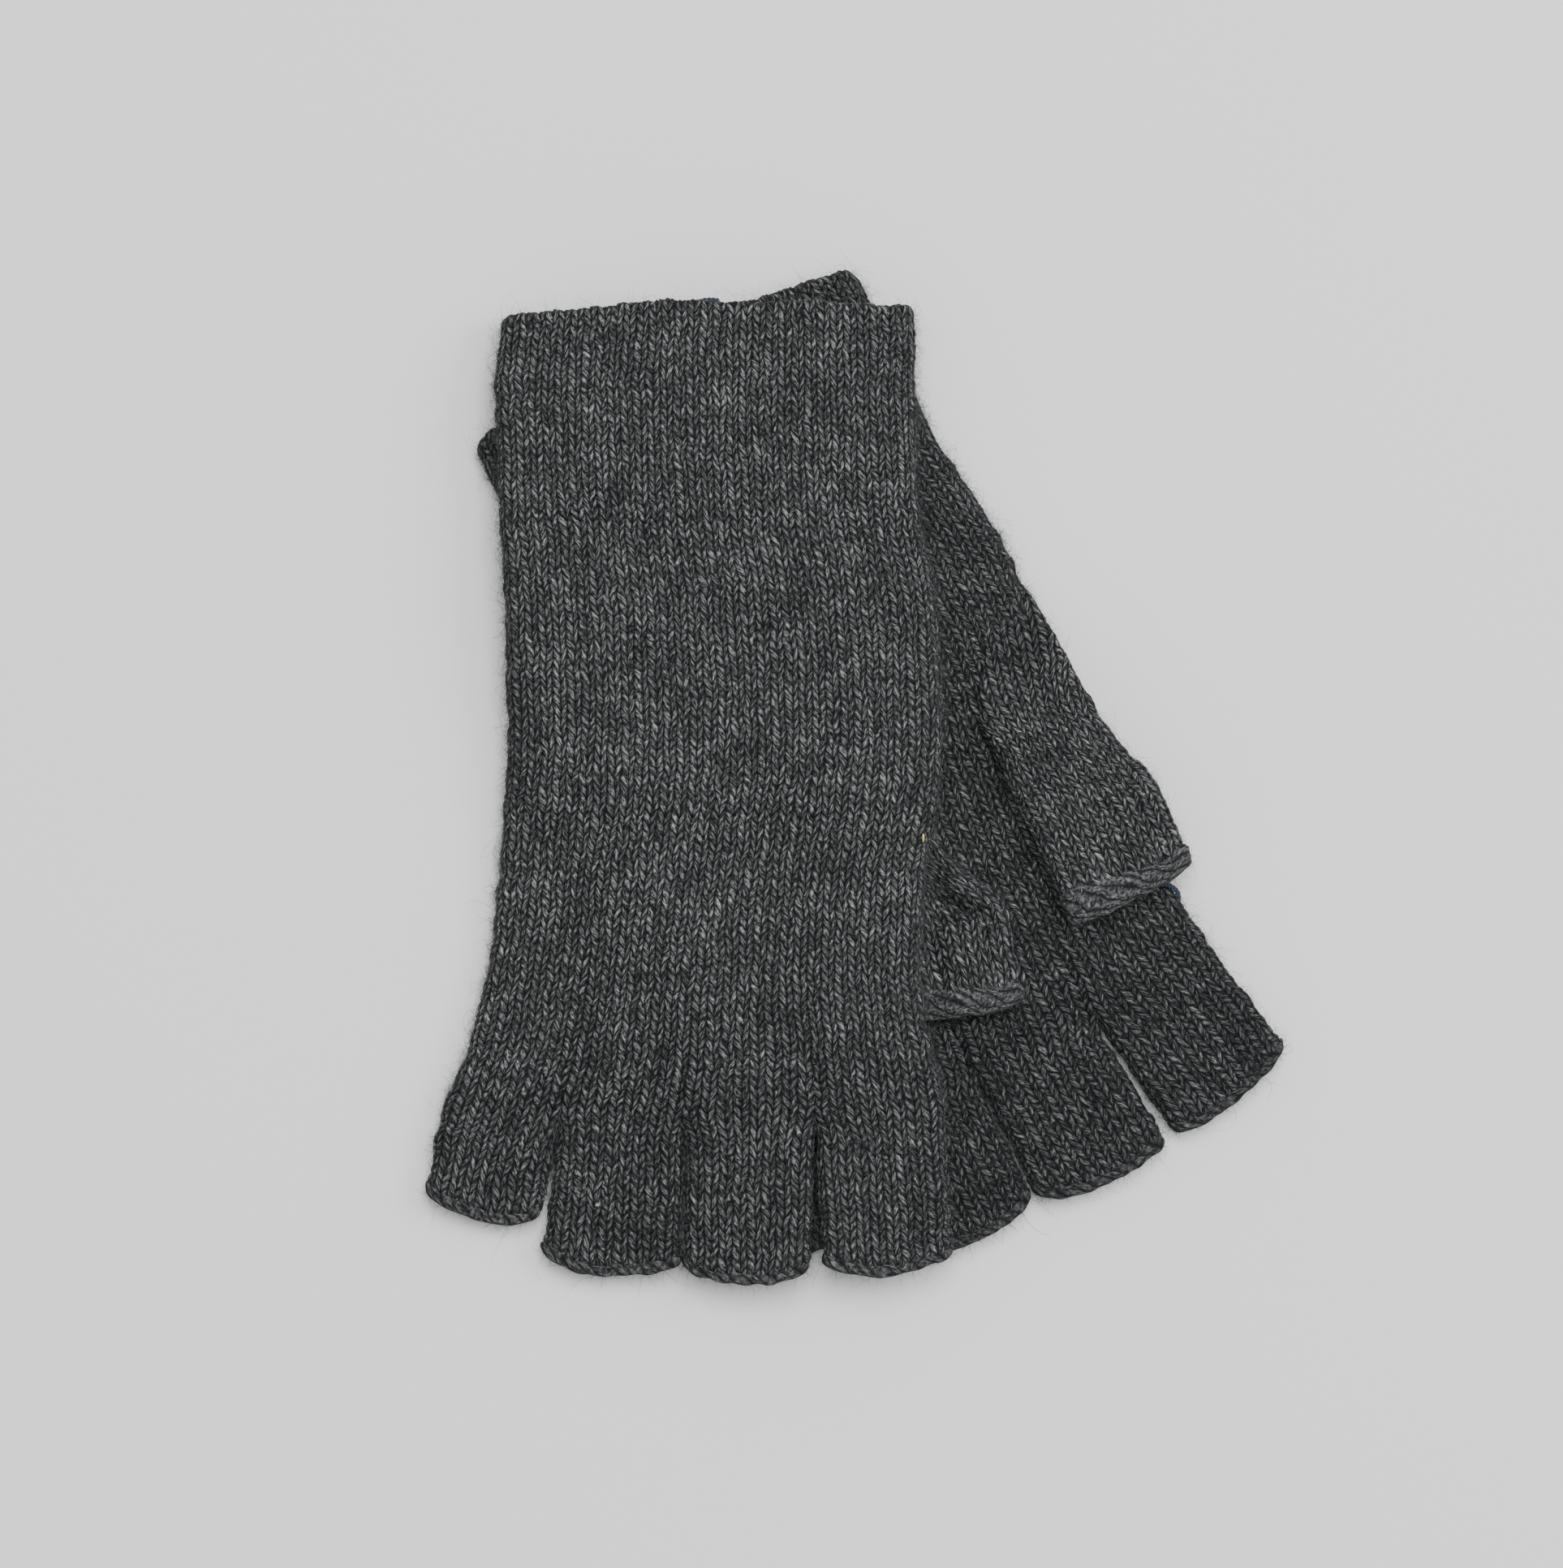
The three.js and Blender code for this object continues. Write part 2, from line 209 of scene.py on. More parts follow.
CUFF_YARN = [(-2.6, 3.5, 0), (-2.2, 0.6, 0), (-0.8, -0.5, 0), (1.2, -0.7, 0), (2.8, -0.2, 0), (3.4, 3.5, 0)]
PALM_YARN = [(48.2, 156.6, 0), (50.2, 157.2, -0.5), (51.5, 158.5, -1.6), (52.2, 160.2, -2.7),
             (51.8, 162.2, -3.8)]
YARN_RADIUS = 0.6
UNPRESSED = (49, 55.5)
FOLD_LINE = ((-0.6, 11.8), (14.2, 24.7))
FOLD_RIDGE = dict(height=1.8, beside=3.4, width=2.5)
FOLD_HOLLOW = dict(height=4.2, beside=-1.0, width=1.9)
FAN_OUT = (112, 172)                # where the hand's wales fan out to meet the fingers'
SLITS_CLOSE = 157                   # where the hand starts to narrow between two fingers
PINCHED = 0.12                      # share of the hand's thickness left at a slit's root
GROWN = 7                           # length over which a stall leaves the hand's wales
CUFF_SHAPED = 26                    # how far up the cuff its shaped edge reaches
GLOVES = {
    "left": dict(cuff=(-41.8, 92.9), turn=24.6, stretch=0.965),
    "right": dict(cuff=(-32.9, 102.4), turn=0, stretch=1),
}
DRAPE = (5, 38)
TUCK_U, TUCK_RISE, TUCK_FALL = (8, 31), (80, 104), (158, 175)

# Knit. A wale is a column of stitches, a course a row, and a leg one half of a V
HALF_WALES = 33                     # across one face of the hand
WALES = 2 * HALF_WALES              # around the hand
FINGER_WALES = {"little": (0, 8), "ring": (8, 16), "middle": (16, 24), "index": (24, 33)}
FORK_WALES = 2                      # down each side of a finger that faces another
THUMB_WALES = 22
WALE = 2.94
COURSE = 2.06
CUFF_COURSES = 22
HAND_COURSES = 62
WALE_STEPS = 9
COURSE_STEPS = 4
V_POINT = 5 / WALE_STEPS            # where in its wale a V has its point: twist leans it over
V_DROP = 1.0                        # courses from the top of a leg to its point
RELIEF = 0.5                        # how far a leg stands above the gaps between legs
BASE_INSET = 0.36                   # how far those gaps lie inside the CAD surface
INNER_INSET = WALL + 0.35
STITCH_DRIFT = 0.22                 # how far stitches stray from their even rows, in mm
DRIFT_WAVES = (5.5, 6)              # size of those waves across and along a glove
UNEVEN = dict(across=(0.22, 15), along=(0.5, 19), up=(0.22, 26))    # height and size of the fabric's waves
SETTLED = 0.12                      # how much lower the fabric lies than its CAD body
OFF_TABLE = 0.02                    # least height over the table
SPREAD = 0.4                        # how much wider a soft tube lies than its CAD body, on each side
LIP_COURSES = 4
BAND_STEPS = 36
BAND_INSET = 0.62
LIP = 0.85                          # radius of the cuff's rolled edge
ROLLS = {
    "thumb": dict(half_length=3.1, flare=0.2, depth=1.05, strands=13, turns=8, relief=0.6, slack=0.16),
    "finger": dict(half_length=1.3, flare=0.0, depth=0.72, strands=21, turns=3, relief=0.36, slack=0.08),
}

# How light the wool is drawn, as painted shade: the upper glove's back, and darker where less light falls, on what
# lies lower and towards the fingers
GLOVE_PAINTED_SHADE = {"left": 0.74, "right": 1.0}
FINGER_PAINTED_SHADE = 0.8
THUMB_PAINTED_SHADE = {"left": 0.93, "right": 0.95}
SEED_WALES = 100

# Fuzz: fibres per square millimetre of fabric, and their sizes in mm
FUZZ_DENSITY = 0.55
FUZZ_RADIUS = 0.028
FUZZ_POINTS = 5
AT_EDGE, AT_MOUTH, LONG = 0.4, 0.08, 0.02       # shares of all fibres

# How the soft outline departs from the CAD part's, in mm: outwards along the sides of each hand, outwards on
# the thumb side of a finger (at its root, at its tip), and along the cuff's edge
OUTLINE = {
    "left": dict(little=[(0, 2.2), (14, 0.7), (30, 0), (FINGER_ROOT, 0)],
                 thumb=[(0, -0.6), (30, -0.6), (70, -1.5), (100, -1.6), (125, 0), (150, 1.2),
                        (FINGER_ROOT, 2)]),
    "right": dict(little=[(0, -0.3), (80, -0.4), (120, -0.9), (155, -0.9), (FINGER_ROOT, 0)],
                  thumb=[(0, 0), (95, -0.3), (120, -1.3), (150, -1.6), (FINGER_ROOT, 0)]),
}
FINGER_SIDES = {
    ("left", "ring"): (0.0, 1.3),
    ("left", "middle"): (0.0, 1.2),
    ("left", "index"): (2.0, 2.3),
    ("right", "little"): (0.0, 1.0),
    ("right", "ring"): (0.1, 0.5),
}
CUFF_EDGES = {
    "left": dict(little=1.4, thumb=1.0, middle=-1.0, corner=4.2),
    "right": dict(little=3.4, thumb=1.2, middle=-0.3, corner=2.2),
}

# Shape of a finger's end: how far it runs past the CAD end in mm, and how that slants across it
TIP = dict(bulge=1.4, bow=2.9, corner=1.1, start=0.35)
THUMB_TIP = dict(bow=0.5, corner=1.3, start=0.5)
TIPS = {
    ("right", "little"): (-0.6, 0.0),
    ("right", "ring"): (-0.5, 0.03),
    ("right", "index"): (-1.4, 0.0),
    ("left", "ring"): (0.5, 0.0),
    ("left", "middle"): (0.8, 0.08),
    ("left", "index"): (0.2, -0.04),
}


# ---------------------------------------------------------------- plan

def smoothstep(x, start, end):
    t = np.clip((x - start) / (end - start), 0, 1)
    return t * t * (3 - 2 * t)


def through(points, v):
    """A smooth curve through (v, value) points, for an array of v."""
    vs = np.array([p[0] for p in points], float)
    values = np.array([p[1] for p in points], float)
    ahead = np.minimum(np.arange(len(vs)) + 1, len(vs) - 1)
    behind = np.maximum(np.arange(len(vs)) - 1, 0)
    slopes = (values[ahead] - values[behind]) / (vs[ahead] - vs[behind])
    i = np.clip(np.searchsorted(vs, v, side="left"), 1, len(vs) - 1)
    span = vs[i] - vs[i - 1]
    t = np.clip((v - vs[i - 1]) / span, 0, 1)
    t2, t3 = t * t, t * t * t
    return ((2 * t3 - 3 * t2 + 1) * values[i - 1] + (t3 - 2 * t2 + t) * span * slopes[i - 1]
            + (3 * t2 - 2 * t3) * values[i] + (t3 - t2) * span * slopes[i])


def in_row(side, u, v):
    """A point of a glove's plane, in the row frame."""
    glove = GLOVES[side]
    turn = math.radians(glove["turn"])
    y = -v * glove["stretch"]
    return (glove["cuff"][0] + u * math.cos(turn) - y * math.sin(turn),
            glove["cuff"][1] + u * math.sin(turn) + y * math.cos(turn))


def on_left_glove(u, v):
    """A point of the right glove's plane, in the left glove's."""
    glove = GLOVES["left"]
    turn = math.radians(glove["turn"])
    x, y = in_row("right", u, v)
    x, y = x - glove["cuff"][0], y - glove["cuff"][1]
    return (x * math.cos(turn) + y * math.sin(turn),
            (x * math.sin(turn) - y * math.cos(turn)) / glove["stretch"])


def tuck(u, v):
    return ((TUCKED_LAYER + GAP) * smoothstep(u, *TUCK_U)
            * smoothstep(v, *TUCK_RISE) * (1 - smoothstep(v, *TUCK_FALL)))


def drape(u, v):
    """Height of the right glove's lower face: on the left glove, and down to the surface beside it."""
    beside_u, along = on_left_glove(u, v)
    beside = np.maximum(-through(LITTLE_SIDE, along) - beside_u, beside_u - through(THUMB_SIDE, along))
    away = np.hypot(np.maximum(beside, 0), np.maximum(-along, 0))
    return STACK * (1 - smoothstep(away, *DRAPE)) + tuck(u, v)


def floor_of(side):
    return drape if side == "right" else (lambda u, v: 0 * u)


def waves(u, v, seed, size):
    """Smooth irregularity from about -1 to 1 over a glove's plane, with waves of about that size."""
    rng = np.random.default_rng(seed)
    total = 0
    for _ in range(6):
        angle, phase = rng.uniform(0, 2 * math.pi, 2)
        length = size * rng.uniform(0.6, 1.6)
        total = total + np.sin(2 * math.pi * (u * math.cos(angle) + v * math.sin(angle)) / length + phase)
    return total / 3


# ---------------------------------------------------------------- flat tubes of fabric

def fullness(from_edge, radius):
    reach = np.clip(from_edge / radius, 0, 1)
    return np.sqrt(1 - (1 - reach) ** 2)


def around_section(share, left, right, radius):
    """Where a share of the way around a flat section is: (distance across from its middle, is it on top).
    Share runs from 0 at the left edge over the top to 1 at the right edge, and back under to 2."""
    share = np.mod(share, 2)
    on_top = share <= 1
    width = left + right
    quarter = math.pi * radius / 2
    half_way = width - 2 * radius + 2 * quarter
    arc = np.where(on_top, share, 2 - share) * half_way
    back = half_way - arc

    def rounded(along):
        return radius * (1 - np.cos(np.minimum(along, quarter) / radius))

    across = np.where(arc < quarter, rounded(arc), radius + arc - quarter)
    across = np.where(back < quarter, width - rounded(back), across)
    return across - left, on_top


def tube_point(station, share, inset, floor, layer, nominal=LAYER, pinch=None, shift=None):
    """A point of a flat tube in its glove's plane, as (u, v, z)."""
    at_u, at_v, lean, left, right = station
    left, right = left + SPREAD, right + SPREAD
    a, on_top = around_section(share, left - inset, right - inset, nominal / 2 - inset)
    along = 0 if shift is None else shift(a, left, right)
    u = at_u + a * np.cos(lean) + along * np.sin(lean)
    v = at_v - a * np.sin(lean) + along * np.cos(lean)
    from_edge = np.minimum(a + left, right - a) - inset
    height = layer(u, v) - 2 * inset
    rise = fullness(from_edge, height / 2) * height / 2
    if pinch is not None:
        rise = rise * pinch(u, v)
    middle = floor(u, v) + layer(u, v) / 2
    return u, v, middle + np.where(on_top, rise, -rise)


def roughened(side, point):
    """The small unevenness of fabric that was never laid perfectly flat, and the point in the row frame."""
    u, v, z = point
    seed = 11 if side == "left" else 23
    (across, across_size), (along, along_size), (up, up_size) = (UNEVEN[k] for k in ("across", "along", "up"))
    du = across * waves(u, v, seed, across_size) + STITCH_DRIFT * waves(u, v, seed + 3, DRIFT_WAVES[0])
    dv = along * waves(u, v, seed + 1, along_size) + STITCH_DRIFT * waves(u, v, seed + 4, DRIFT_WAVES[1])
    x, y = in_row(side, u + du, v + dv)
    z = z + up * waves(u, v, seed + 2, up_size) - SETTLED
    return np.stack([x, y, np.maximum(z, OFF_TABLE)], -1)


def slit_positions(side):
    names = list(FINGER_WALES)
    fingers = FINGERS[side]
    ends = [(f["root"] - f["widths"][0] / 2, f["root"] + f["widths"][0] / 2) for f in fingers.values()]
    return [(ends[i][1] + ends[i + 1][0]) / 2 for i in range(len(names) - 1)]


def hand_wale_share(side, w, v):
    """Wale lines run evenly across the cuff, and fan out to meet the fingers' own wales at their roots."""
    w = np.mod(w, WALES)
    folded = np.where(w <= HALF_WALES, w, WALES - w)
    even = folded / HALF_WALES
    radius = LAYER / 2
    quarter = math.pi * radius / 2
    root_left, root_right = LITTLE_SIDE[-1][1], THUMB_SIDE[-1][1]
    half_way = root_left + root_right - 2 * radius + 2 * quarter
    marks = [0] + [(s + root_left - radius + quarter) / half_way for s in slit_positions(side)] + [1]
    wale_marks = [0] + [last for _, last in FINGER_WALES.values()]
    fanned = np.interp(folded, wale_marks, marks)
    share = even + (fanned - even) * smoothstep(v, *FAN_OUT)
    return np.where(w <= HALF_WALES, share, 2 - share)


def hand_surface(side):
    """The tube of cuff and hand: point at wale w and distance v from the cuff's edge."""
    slits = slit_positions(side)
    eased, edge = OUTLINE[side], CUFF_EDGES[side]

    def pinch(u, v):
        nearest = np.min([np.abs(u - s) for s in slits], axis=0)
        closed = smoothstep(v, SLITS_CLOSE, FINGER_ROOT)
        return 1 - closed * (1 - np.maximum(fullness(nearest, LAYER / 2), PINCHED))

    def surface(w, v, inset):
        left, right = through(LITTLE_SIDE, v), through(THUMB_SIDE, v)
        station = (0 * v, v, 0 * v, left + through(eased["little"], v), right + through(eased["thumb"], v))
        lowered = 1 - smoothstep(v, 0, CUFF_SHAPED)

        def cuff_corners(a, left, right):
            from_edge = np.minimum(a + left, right - a)
            return lowered * (edge["little"] * np.maximum(-a / left, 0) ** 2
                              + edge["thumb"] * np.maximum(a / right, 0) ** 4
                              + edge["middle"] * (1 - (a / right) ** 2)
                              + edge["corner"] * (1 - fullness(from_edge, edge["corner"])))

        share = hand_wale_share(side, w, v)
        point = tube_point(station, share, inset, floor_of(side), lambda u, v: LAYER + 0 * u,
                           pinch=pinch, shift=cuff_corners)
        return roughened(side, point)

    return surface


def finger_surface(side, name):
    """A finger stall: point at its own wale w and distance s from its root. It continues the hand."""
    spec = FINGERS[side][name]
    first, last = FINGER_WALES[name]
    left_fork = FORK_WALES / 2 if first > 0 else 0
    right_fork = FORK_WALES / 2 if last < HALF_WALES else 0
    half = last - first + left_fork + right_fork
    lean_full = math.radians(spec["lean"])
    length = spec["length"]
    hand = hand_surface(side)

    def on_hand(w, v, inset):
        w = np.mod(w, 2 * half)
        folded = np.where(w <= half, w, 2 * half - w)
        top_wale = first + np.clip(folded - left_fork, 0, last - first)
        beneath = np.where(w <= half, 0.0, 1.0)
        if right_fork:
            near = np.abs(w - half) < right_fork
            beneath = np.where(near, (w - half + right_fork) / (2 * right_fork), beneath)
        if left_fork:
            beneath = np.where(w < left_fork, 0.5 * (1 - w / left_fork), beneath)
            beneath = np.where(w > 2 * half - left_fork, 0.5 + 0.5 * (2 * half - w) / left_fork, beneath)
        top, under = hand(top_wale, v, inset), hand(WALES - top_wale, v, inset)
        return top + (under - top) * beneath[..., None]

    further, slant = TIPS.get((side, name), (0.0, 0.0))
    root_side, tip_side = FINGER_SIDES.get((side, name), (0.0, 0.0))

    def surface(w, s, inset):
        lean = lean_full * np.clip(2 * s / length, 0, 1)
        share = np.clip(s / length, 0, 1)
        width = spec["widths"][0] + (spec["widths"][1] - spec["widths"][0]) * share
        station = (spec["root"] + s * math.sin(lean_full), FINGER_ROOT + s * math.cos(lean_full),
                   lean, width / 2, width / 2 + root_side + (tip_side - root_side) * share)
        towards_tip = smoothstep(s, TIP["start"] * length, length)

        def round_tip(a, left, right):
            x = a / np.where(a < 0, left, right)
            bowed = TIP["bulge"] - TIP["bow"] * x ** 2 - TIP["corner"] * x ** 6
            return towards_tip * (bowed + further + slant * a)

        point = tube_point(station, w / half, inset, floor_of(side), lambda u, v: LAYER + 0 * u,
                           shift=round_tip)
        own = roughened(side, point)
        grown = smoothstep(s, 0, GROWN)[..., None]
        return on_hand(w, FINGER_ROOT + np.minimum(s, 0), inset) * (1 - grown) + own * grown + (
            (1 - grown) * np.maximum(s, 0)[..., None] * finger_direction(side, lean_full))

    return surface, int(2 * half)


def finger_direction(side, lean):
    """Along a stall with that lean, in the row frame, for one millimetre of its glove's plane."""
    x0, y0 = in_row(side, 0, 0)
    x1, y1 = in_row(side, math.sin(lean), math.cos(lean))
    return np.array([x1 - x0, y1 - y0, 0])


def thumb_fold(point, root, lean):
    """The right thumb's outer side is folded over: a ridge from the hand's edge down the stall, and a hollow
    beside it. Placed by distances across and along the stall."""
    u, v, z = point
    across = (u - root[0]) * math.cos(lean) - (v - root[1]) * math.sin(lean)
    along = (u - root[0]) * math.sin(lean) + (v - root[1]) * math.cos(lean)
    (across0, along0), (across1, along1) = FOLD_LINE
    length = math.hypot(across1 - across0, along1 - along0)
    run = ((across - across0) * (across1 - across0) + (along - along0) * (along1 - along0)) / length
    beside = ((across - across0) * (along1 - along0) - (along - along0) * (across1 - across0)) / length
    shown = smoothstep(u, *UNPRESSED) * (1 - smoothstep(run, 0.8 * length, 1.7 * length))

    def bump(shape):
        return shape["height"] * np.exp(-((beside - shape["beside"]) / shape["width"]) ** 2)

    ridge = bump(FOLD_RIDGE)
    hollow = bump(FOLD_HOLLOW) * (1 - smoothstep(run, 0.35 * length, 1.2 * length))
    upper = smoothstep(z, STACK + 2, STACK + 4)
    return u, v, z + upper * shown * (ridge - hollow)


def gusset_wale_share(w, fitting, t):
    """Where wale w lies around the thumb. Only as many wales show on the gusset as fit its width, and the
    rest lie under it. From its root on, the thumb has half of its wales on each face."""
    face = THUMB_WALES / 2
    shown = np.minimum(fitting, face)
    shown = shown + (face - shown) * smoothstep(t, 0.5, 1)
    first, last = face / 2 - shown / 2, face / 2 + shown / 2
    w = np.mod(w, THUMB_WALES)
    w = np.where(w < first, w + THUMB_WALES, w)
    hidden = 2 * (face - shown / 2)
    return np.where(w <= last, (w - first) / shown, 1 + (w - last) / hidden)


def thumb_surface(side):
    """A thumb stall, and before its root the gusset that widens the hand into it."""
    spec = THUMBS[side]
    root_u, root_v = spec["root"]
    lean_full = math.radians(spec["lean"])
    start = GUSSET_START[side]

    def layer(u, v):
        if side == "right":
            free = TUCKED_LAYER + (THUMB_LAYER - TUCKED_LAYER) * smoothstep(u, *UNPRESSED)
            under_hand = np.clip(drape(u, v) - GAP - STACK, GUSSET_THIN, TUCKED_LAYER)
            return np.where(v < root_v, under_hand, free)
        return GUSSET_THIN + (THUMB_LAYER - GUSSET_THIN) * smoothstep(v, start, root_v)

    def floor(u, v):
        sunk = 1 - smoothstep(v, start, start + GUSSET_RISE)
        if side == "right":
            return STACK + (drape(u, v) + GUSSET_SUNK - STACK) * sunk
        return STACK - (GUSSET_THIN + GAP + GUSSET_SUNK) * sunk

    def surface(w, s, inset):
        t = np.clip(1 + s / (root_v - start), 0, 1)
        lean = lean_full * t
        before = np.minimum(s, 0)
        after = np.maximum(s, 0)
        edge = through(THUMB_SIDE, root_v + before) - GUSSET_INSET[side] - root_u
        widened = spec["outer_root"] + (THUMB_HALF - spec["outer_root"]) * smoothstep(s, 0, THUMB_FULL_AFTER)
        right = np.where(s < 0, edge + (spec["outer_root"] - edge) * t, widened)
        right = right - THUMB_TAPER[side] * smoothstep(s, 0.4 * spec["length"], spec["length"])
        left = GUSSET_HALF + (THUMB_HALF - GUSSET_HALF) * smoothstep(t, 0, 0.8)
        station = (root_u + after * math.sin(lean_full), root_v + before + after * math.cos(lean_full),
                   lean, left, right)
        towards_tip = smoothstep(s, THUMB_TIP["start"] * spec["length"], spec["length"])

        further, slant = THUMB_TIPS[side]

        def round_tip(a, left, right):
            x = a / left
            bowed = -THUMB_TIP["bow"] * x ** 2 - THUMB_TIP["corner"] * np.abs(x) ** 5
            return towards_tip * (bowed + further + slant * x)

        share = gusset_wale_share(w, (left + right) / WALE, t)
        point = tube_point(station, share, inset, floor, layer,
                           nominal=TUCKED_LAYER, shift=round_tip)
        if side == "right":
            point = thumb_fold(point, (root_u, root_v), lean_full)
        return roughened(side, point)

    return surface


# ---------------------------------------------------------------- knitted shells

def hashed(a, b, seed):
    """A repeatable number from 0 to 1 for each pair of whole numbers."""
    x = np.sin(a * 127.1 + b * 311.7 + seed * 74.7) * 43758.5453
    return x - np.floor(x)


def outward(surface, w, c, inset):
    """Unit normals of a surface, by differences."""
    step = 0.02
    across = surface(w + step, c, inset) - surface(w - step, c, inset)
    along = surface(w, c + step, inset) - surface(w, c - step, inset)
    normal = np.cross(along, across)
    return normal / np.maximum(np.linalg.norm(normal, axis=-1, keepdims=True), 1e-9)


def leg_rows(first, last, free_first, free_last):
    """Rows that follow the legs of the Vs: their phase in courses, and how steep the legs are there."""
    count = int(round((last - first) * COURSE_STEPS))
    phase = first + np.arange(count + 1) / COURSE_STEPS
    steepness = np.ones_like(phase)
    if free_first:
        steepness = steepness * smoothstep(phase, first, first + 3)
    if free_last:
        steepness = steepness * smoothstep(phase, last, last - 3)
    return phase, steepness


def up_leg(w):
    """How far up its leg of the V each wale coordinate is: 0 at the point, 1 at the top."""
    x = np.mod(w, 1)
    return np.where(x < V_POINT, (V_POINT - x) / V_POINT, (x - V_POINT) / (1 - V_POINT))


def knit_relief(w, phase, seed):
    """Height of the stitches, from 0 in the gaps to about 1 on the legs."""
    up = up_leg(w)
    t = np.mod(phase, 1)
    across_leg = (4 * t * (1 - t)) ** 0.6
    along_leg = (4 * up * (1 - up)) ** 0.6
    leg = 2 * np.floor(w) + (np.mod(w, 1) > V_POINT)
    plump = 0.65 + 0.5 * hashed(leg, np.floor(phase), seed)
    return across_leg * (0.35 + 0.65 * along_leg) * plump


def placed(name, data):
    obj = bpy.data.objects.new(name, data)
    bpy.context.scene.collection.objects.link(obj)
    return obj


def closed_mesh(name, rings, values):
    """A mesh from rings of points, [row, column, xyz] in mm, that closes on itself both ways.
    Values are (wale, course, tone) at each point, unwrapped, with one column and one row more."""
    rows, columns = rings.shape[:2]
    mesh = bpy.data.meshes.new(name)
    mesh.vertices.add(rows * columns)
    mesh.vertices.foreach_set("co", (rings * MM).astype(np.float32).ravel())
    i, j = np.meshgrid(np.arange(rows), np.arange(columns), indexing="ij")
    i2, j2 = i + 1, j + 1
    corners = [(i, j), (i, j2), (i2, j2), (i2, j)]
    index = np.stack([(a % rows) * columns + b % columns for a, b in corners], -1).reshape(-1, 4)
    faces = len(index)
    mesh.loops.add(faces * 4)
    mesh.loops.foreach_set("vertex_index", index.astype(np.int32).ravel())
    mesh.polygons.add(faces)
    mesh.polygons.foreach_set("loop_start", np.arange(0, faces * 4, 4, dtype=np.int32))
    mesh.polygons.foreach_set("loop_total", np.full(faces, 4, np.int32))
    mesh.polygons.foreach_set("use_smooth", np.ones(faces, bool))
    knit = np.stack([values[a, b] for a, b in corners], -2).reshape(-1, 3)
    attribute = mesh.attributes.new("knit", "FLOAT_VECTOR", "CORNER")
    attribute.data.foreach_set("vector", knit.astype(np.float32).ravel())
    mesh.update(calc_edges=True)
    mesh.validate()
    return placed(name, mesh)


def knit_tube(name, surface, wales, first, last, course, tone, at=0.0, free=(False, False), seed=0,
              inner=None):
    """A closed shell: stitches outside, a plain wall inside. Courses first to last lie course mm apart,
    and course 0 is at that distance along the surface. Tone gives the wool's painted shade along it, how much
    darker it is drawn where less light falls, and inner is (surface, inset, from, to) of the wall."""
    columns = np.arange(wales * WALE_STEPS) / WALE_STEPS
    phase, steepness = leg_rows(first, last, *free)
    c_outer = phase[:, None] - V_DROP * up_leg(columns)[None, :] * steepness[:, None]
    w_outer = np.broadcast_to(columns, c_outer.shape)
    along = at + c_outer * course
    relief = knit_relief(w_outer, np.broadcast_to(phase[:, None], c_outer.shape), seed)
    points = surface(w_outer, along, BASE_INSET)
    points = points + outward(surface, w_outer, along, BASE_INSET) * (RELIEF * relief)[..., None]
    inner_rows = max(3, int((last - first) * course / 5))
    inside_surface, inside_inset, inner_last, inner_first = inner or (
        surface, INNER_INSET, at + (last - (not free[1])) * course, at + (first - (not free[0])) * course)
    inner_along = np.linspace(inner_last, inner_first, inner_rows)[:, None] + 0 * columns[None, :]
    w_inner = np.broadcast_to(columns, inner_along.shape)
    inside = inside_surface(w_inner, inner_along, inside_inset)
    rings = np.concatenate([points, inside])
    wale_of = (np.concatenate([columns, [wales]]) + seed * SEED_WALES) * WALE
    c_all = np.concatenate([c_outer, (inner_along - at) / course])
    c_all = np.concatenate([c_all, c_all[:, :1]], 1)
    c_all = np.concatenate([c_all, c_all[-1:]])
    values = np.stack([np.broadcast_to(wale_of, c_all.shape), c_all * COURSE, tone(at + c_all * course)], -1)
    return closed_mesh(name, rings, values)


def rolled_band(name, surface, wales, length, roll, seed, tone):
    """A rolled band around a tube's mouth at that length: strands of yarn wound round it at a slant."""
    columns = np.arange(wales * WALE_STEPS + 1) / WALE_STEPS
    angle = np.arange(BAND_STEPS + 1) / BAND_STEPS * 2 * math.pi
    w, theta = np.meshgrid(columns, angle)
    turn = 2 * math.pi * w / wales
    slack = roll["slack"] * (np.sin(5 * turn + seed) + 0.75 * np.sin(11 * turn + 2 * seed))
    half_length = roll["half_length"] * (1 + roll["flare"] * np.cos(turn))
    along = length + slack + half_length * (np.sign(np.cos(theta)) * np.abs(np.cos(theta)) ** 0.8 - 1)
    phase = (roll["strands"] * turn + roll["turns"] * theta) / (2 * math.pi)
    phase = phase + 0.14 * np.sin(9 * turn + 2 * theta)
    t = np.mod(phase, 1)
    plump = 0.62 + 0.38 * np.sin(27 * turn + 4 * theta + seed) * np.sin(theta + 7 * turn)
    relief = (4 * t * (1 - t)) ** 0.6 * plump
    thickness = roll["depth"] * (1 + 0.14 * np.sin(6 * turn + seed))
    bead = BAND_INSET - (thickness + roll["relief"] * (relief - 0.6)) * np.sin(theta)
    inner, outer = surface(w, along, 1.0), surface(w, along, 0.0)
    rings = outer + (inner - outer) * bead[..., None]
    values = np.stack([(w + seed * SEED_WALES) * WALE, phase, tone(along)], -1)
    return closed_mesh(name, rings[:-1, :-1], values)


def rolled_mouth(surface):
    """The surface with its end at 0 turned inwards over a round lip."""
    def rolled(w, along, inset):
        over = np.clip((LIP - along) / LIP, 0, math.pi)
        beyond = np.maximum(-along - (math.pi - 1) * LIP, 0)
        v = np.where(along < LIP, LIP - LIP * np.sin(over), along) + beyond
        return surface(w, v, inset + LIP * (1 - np.cos(over)))
    return rolled


# ---------------------------------------------------------------- materials

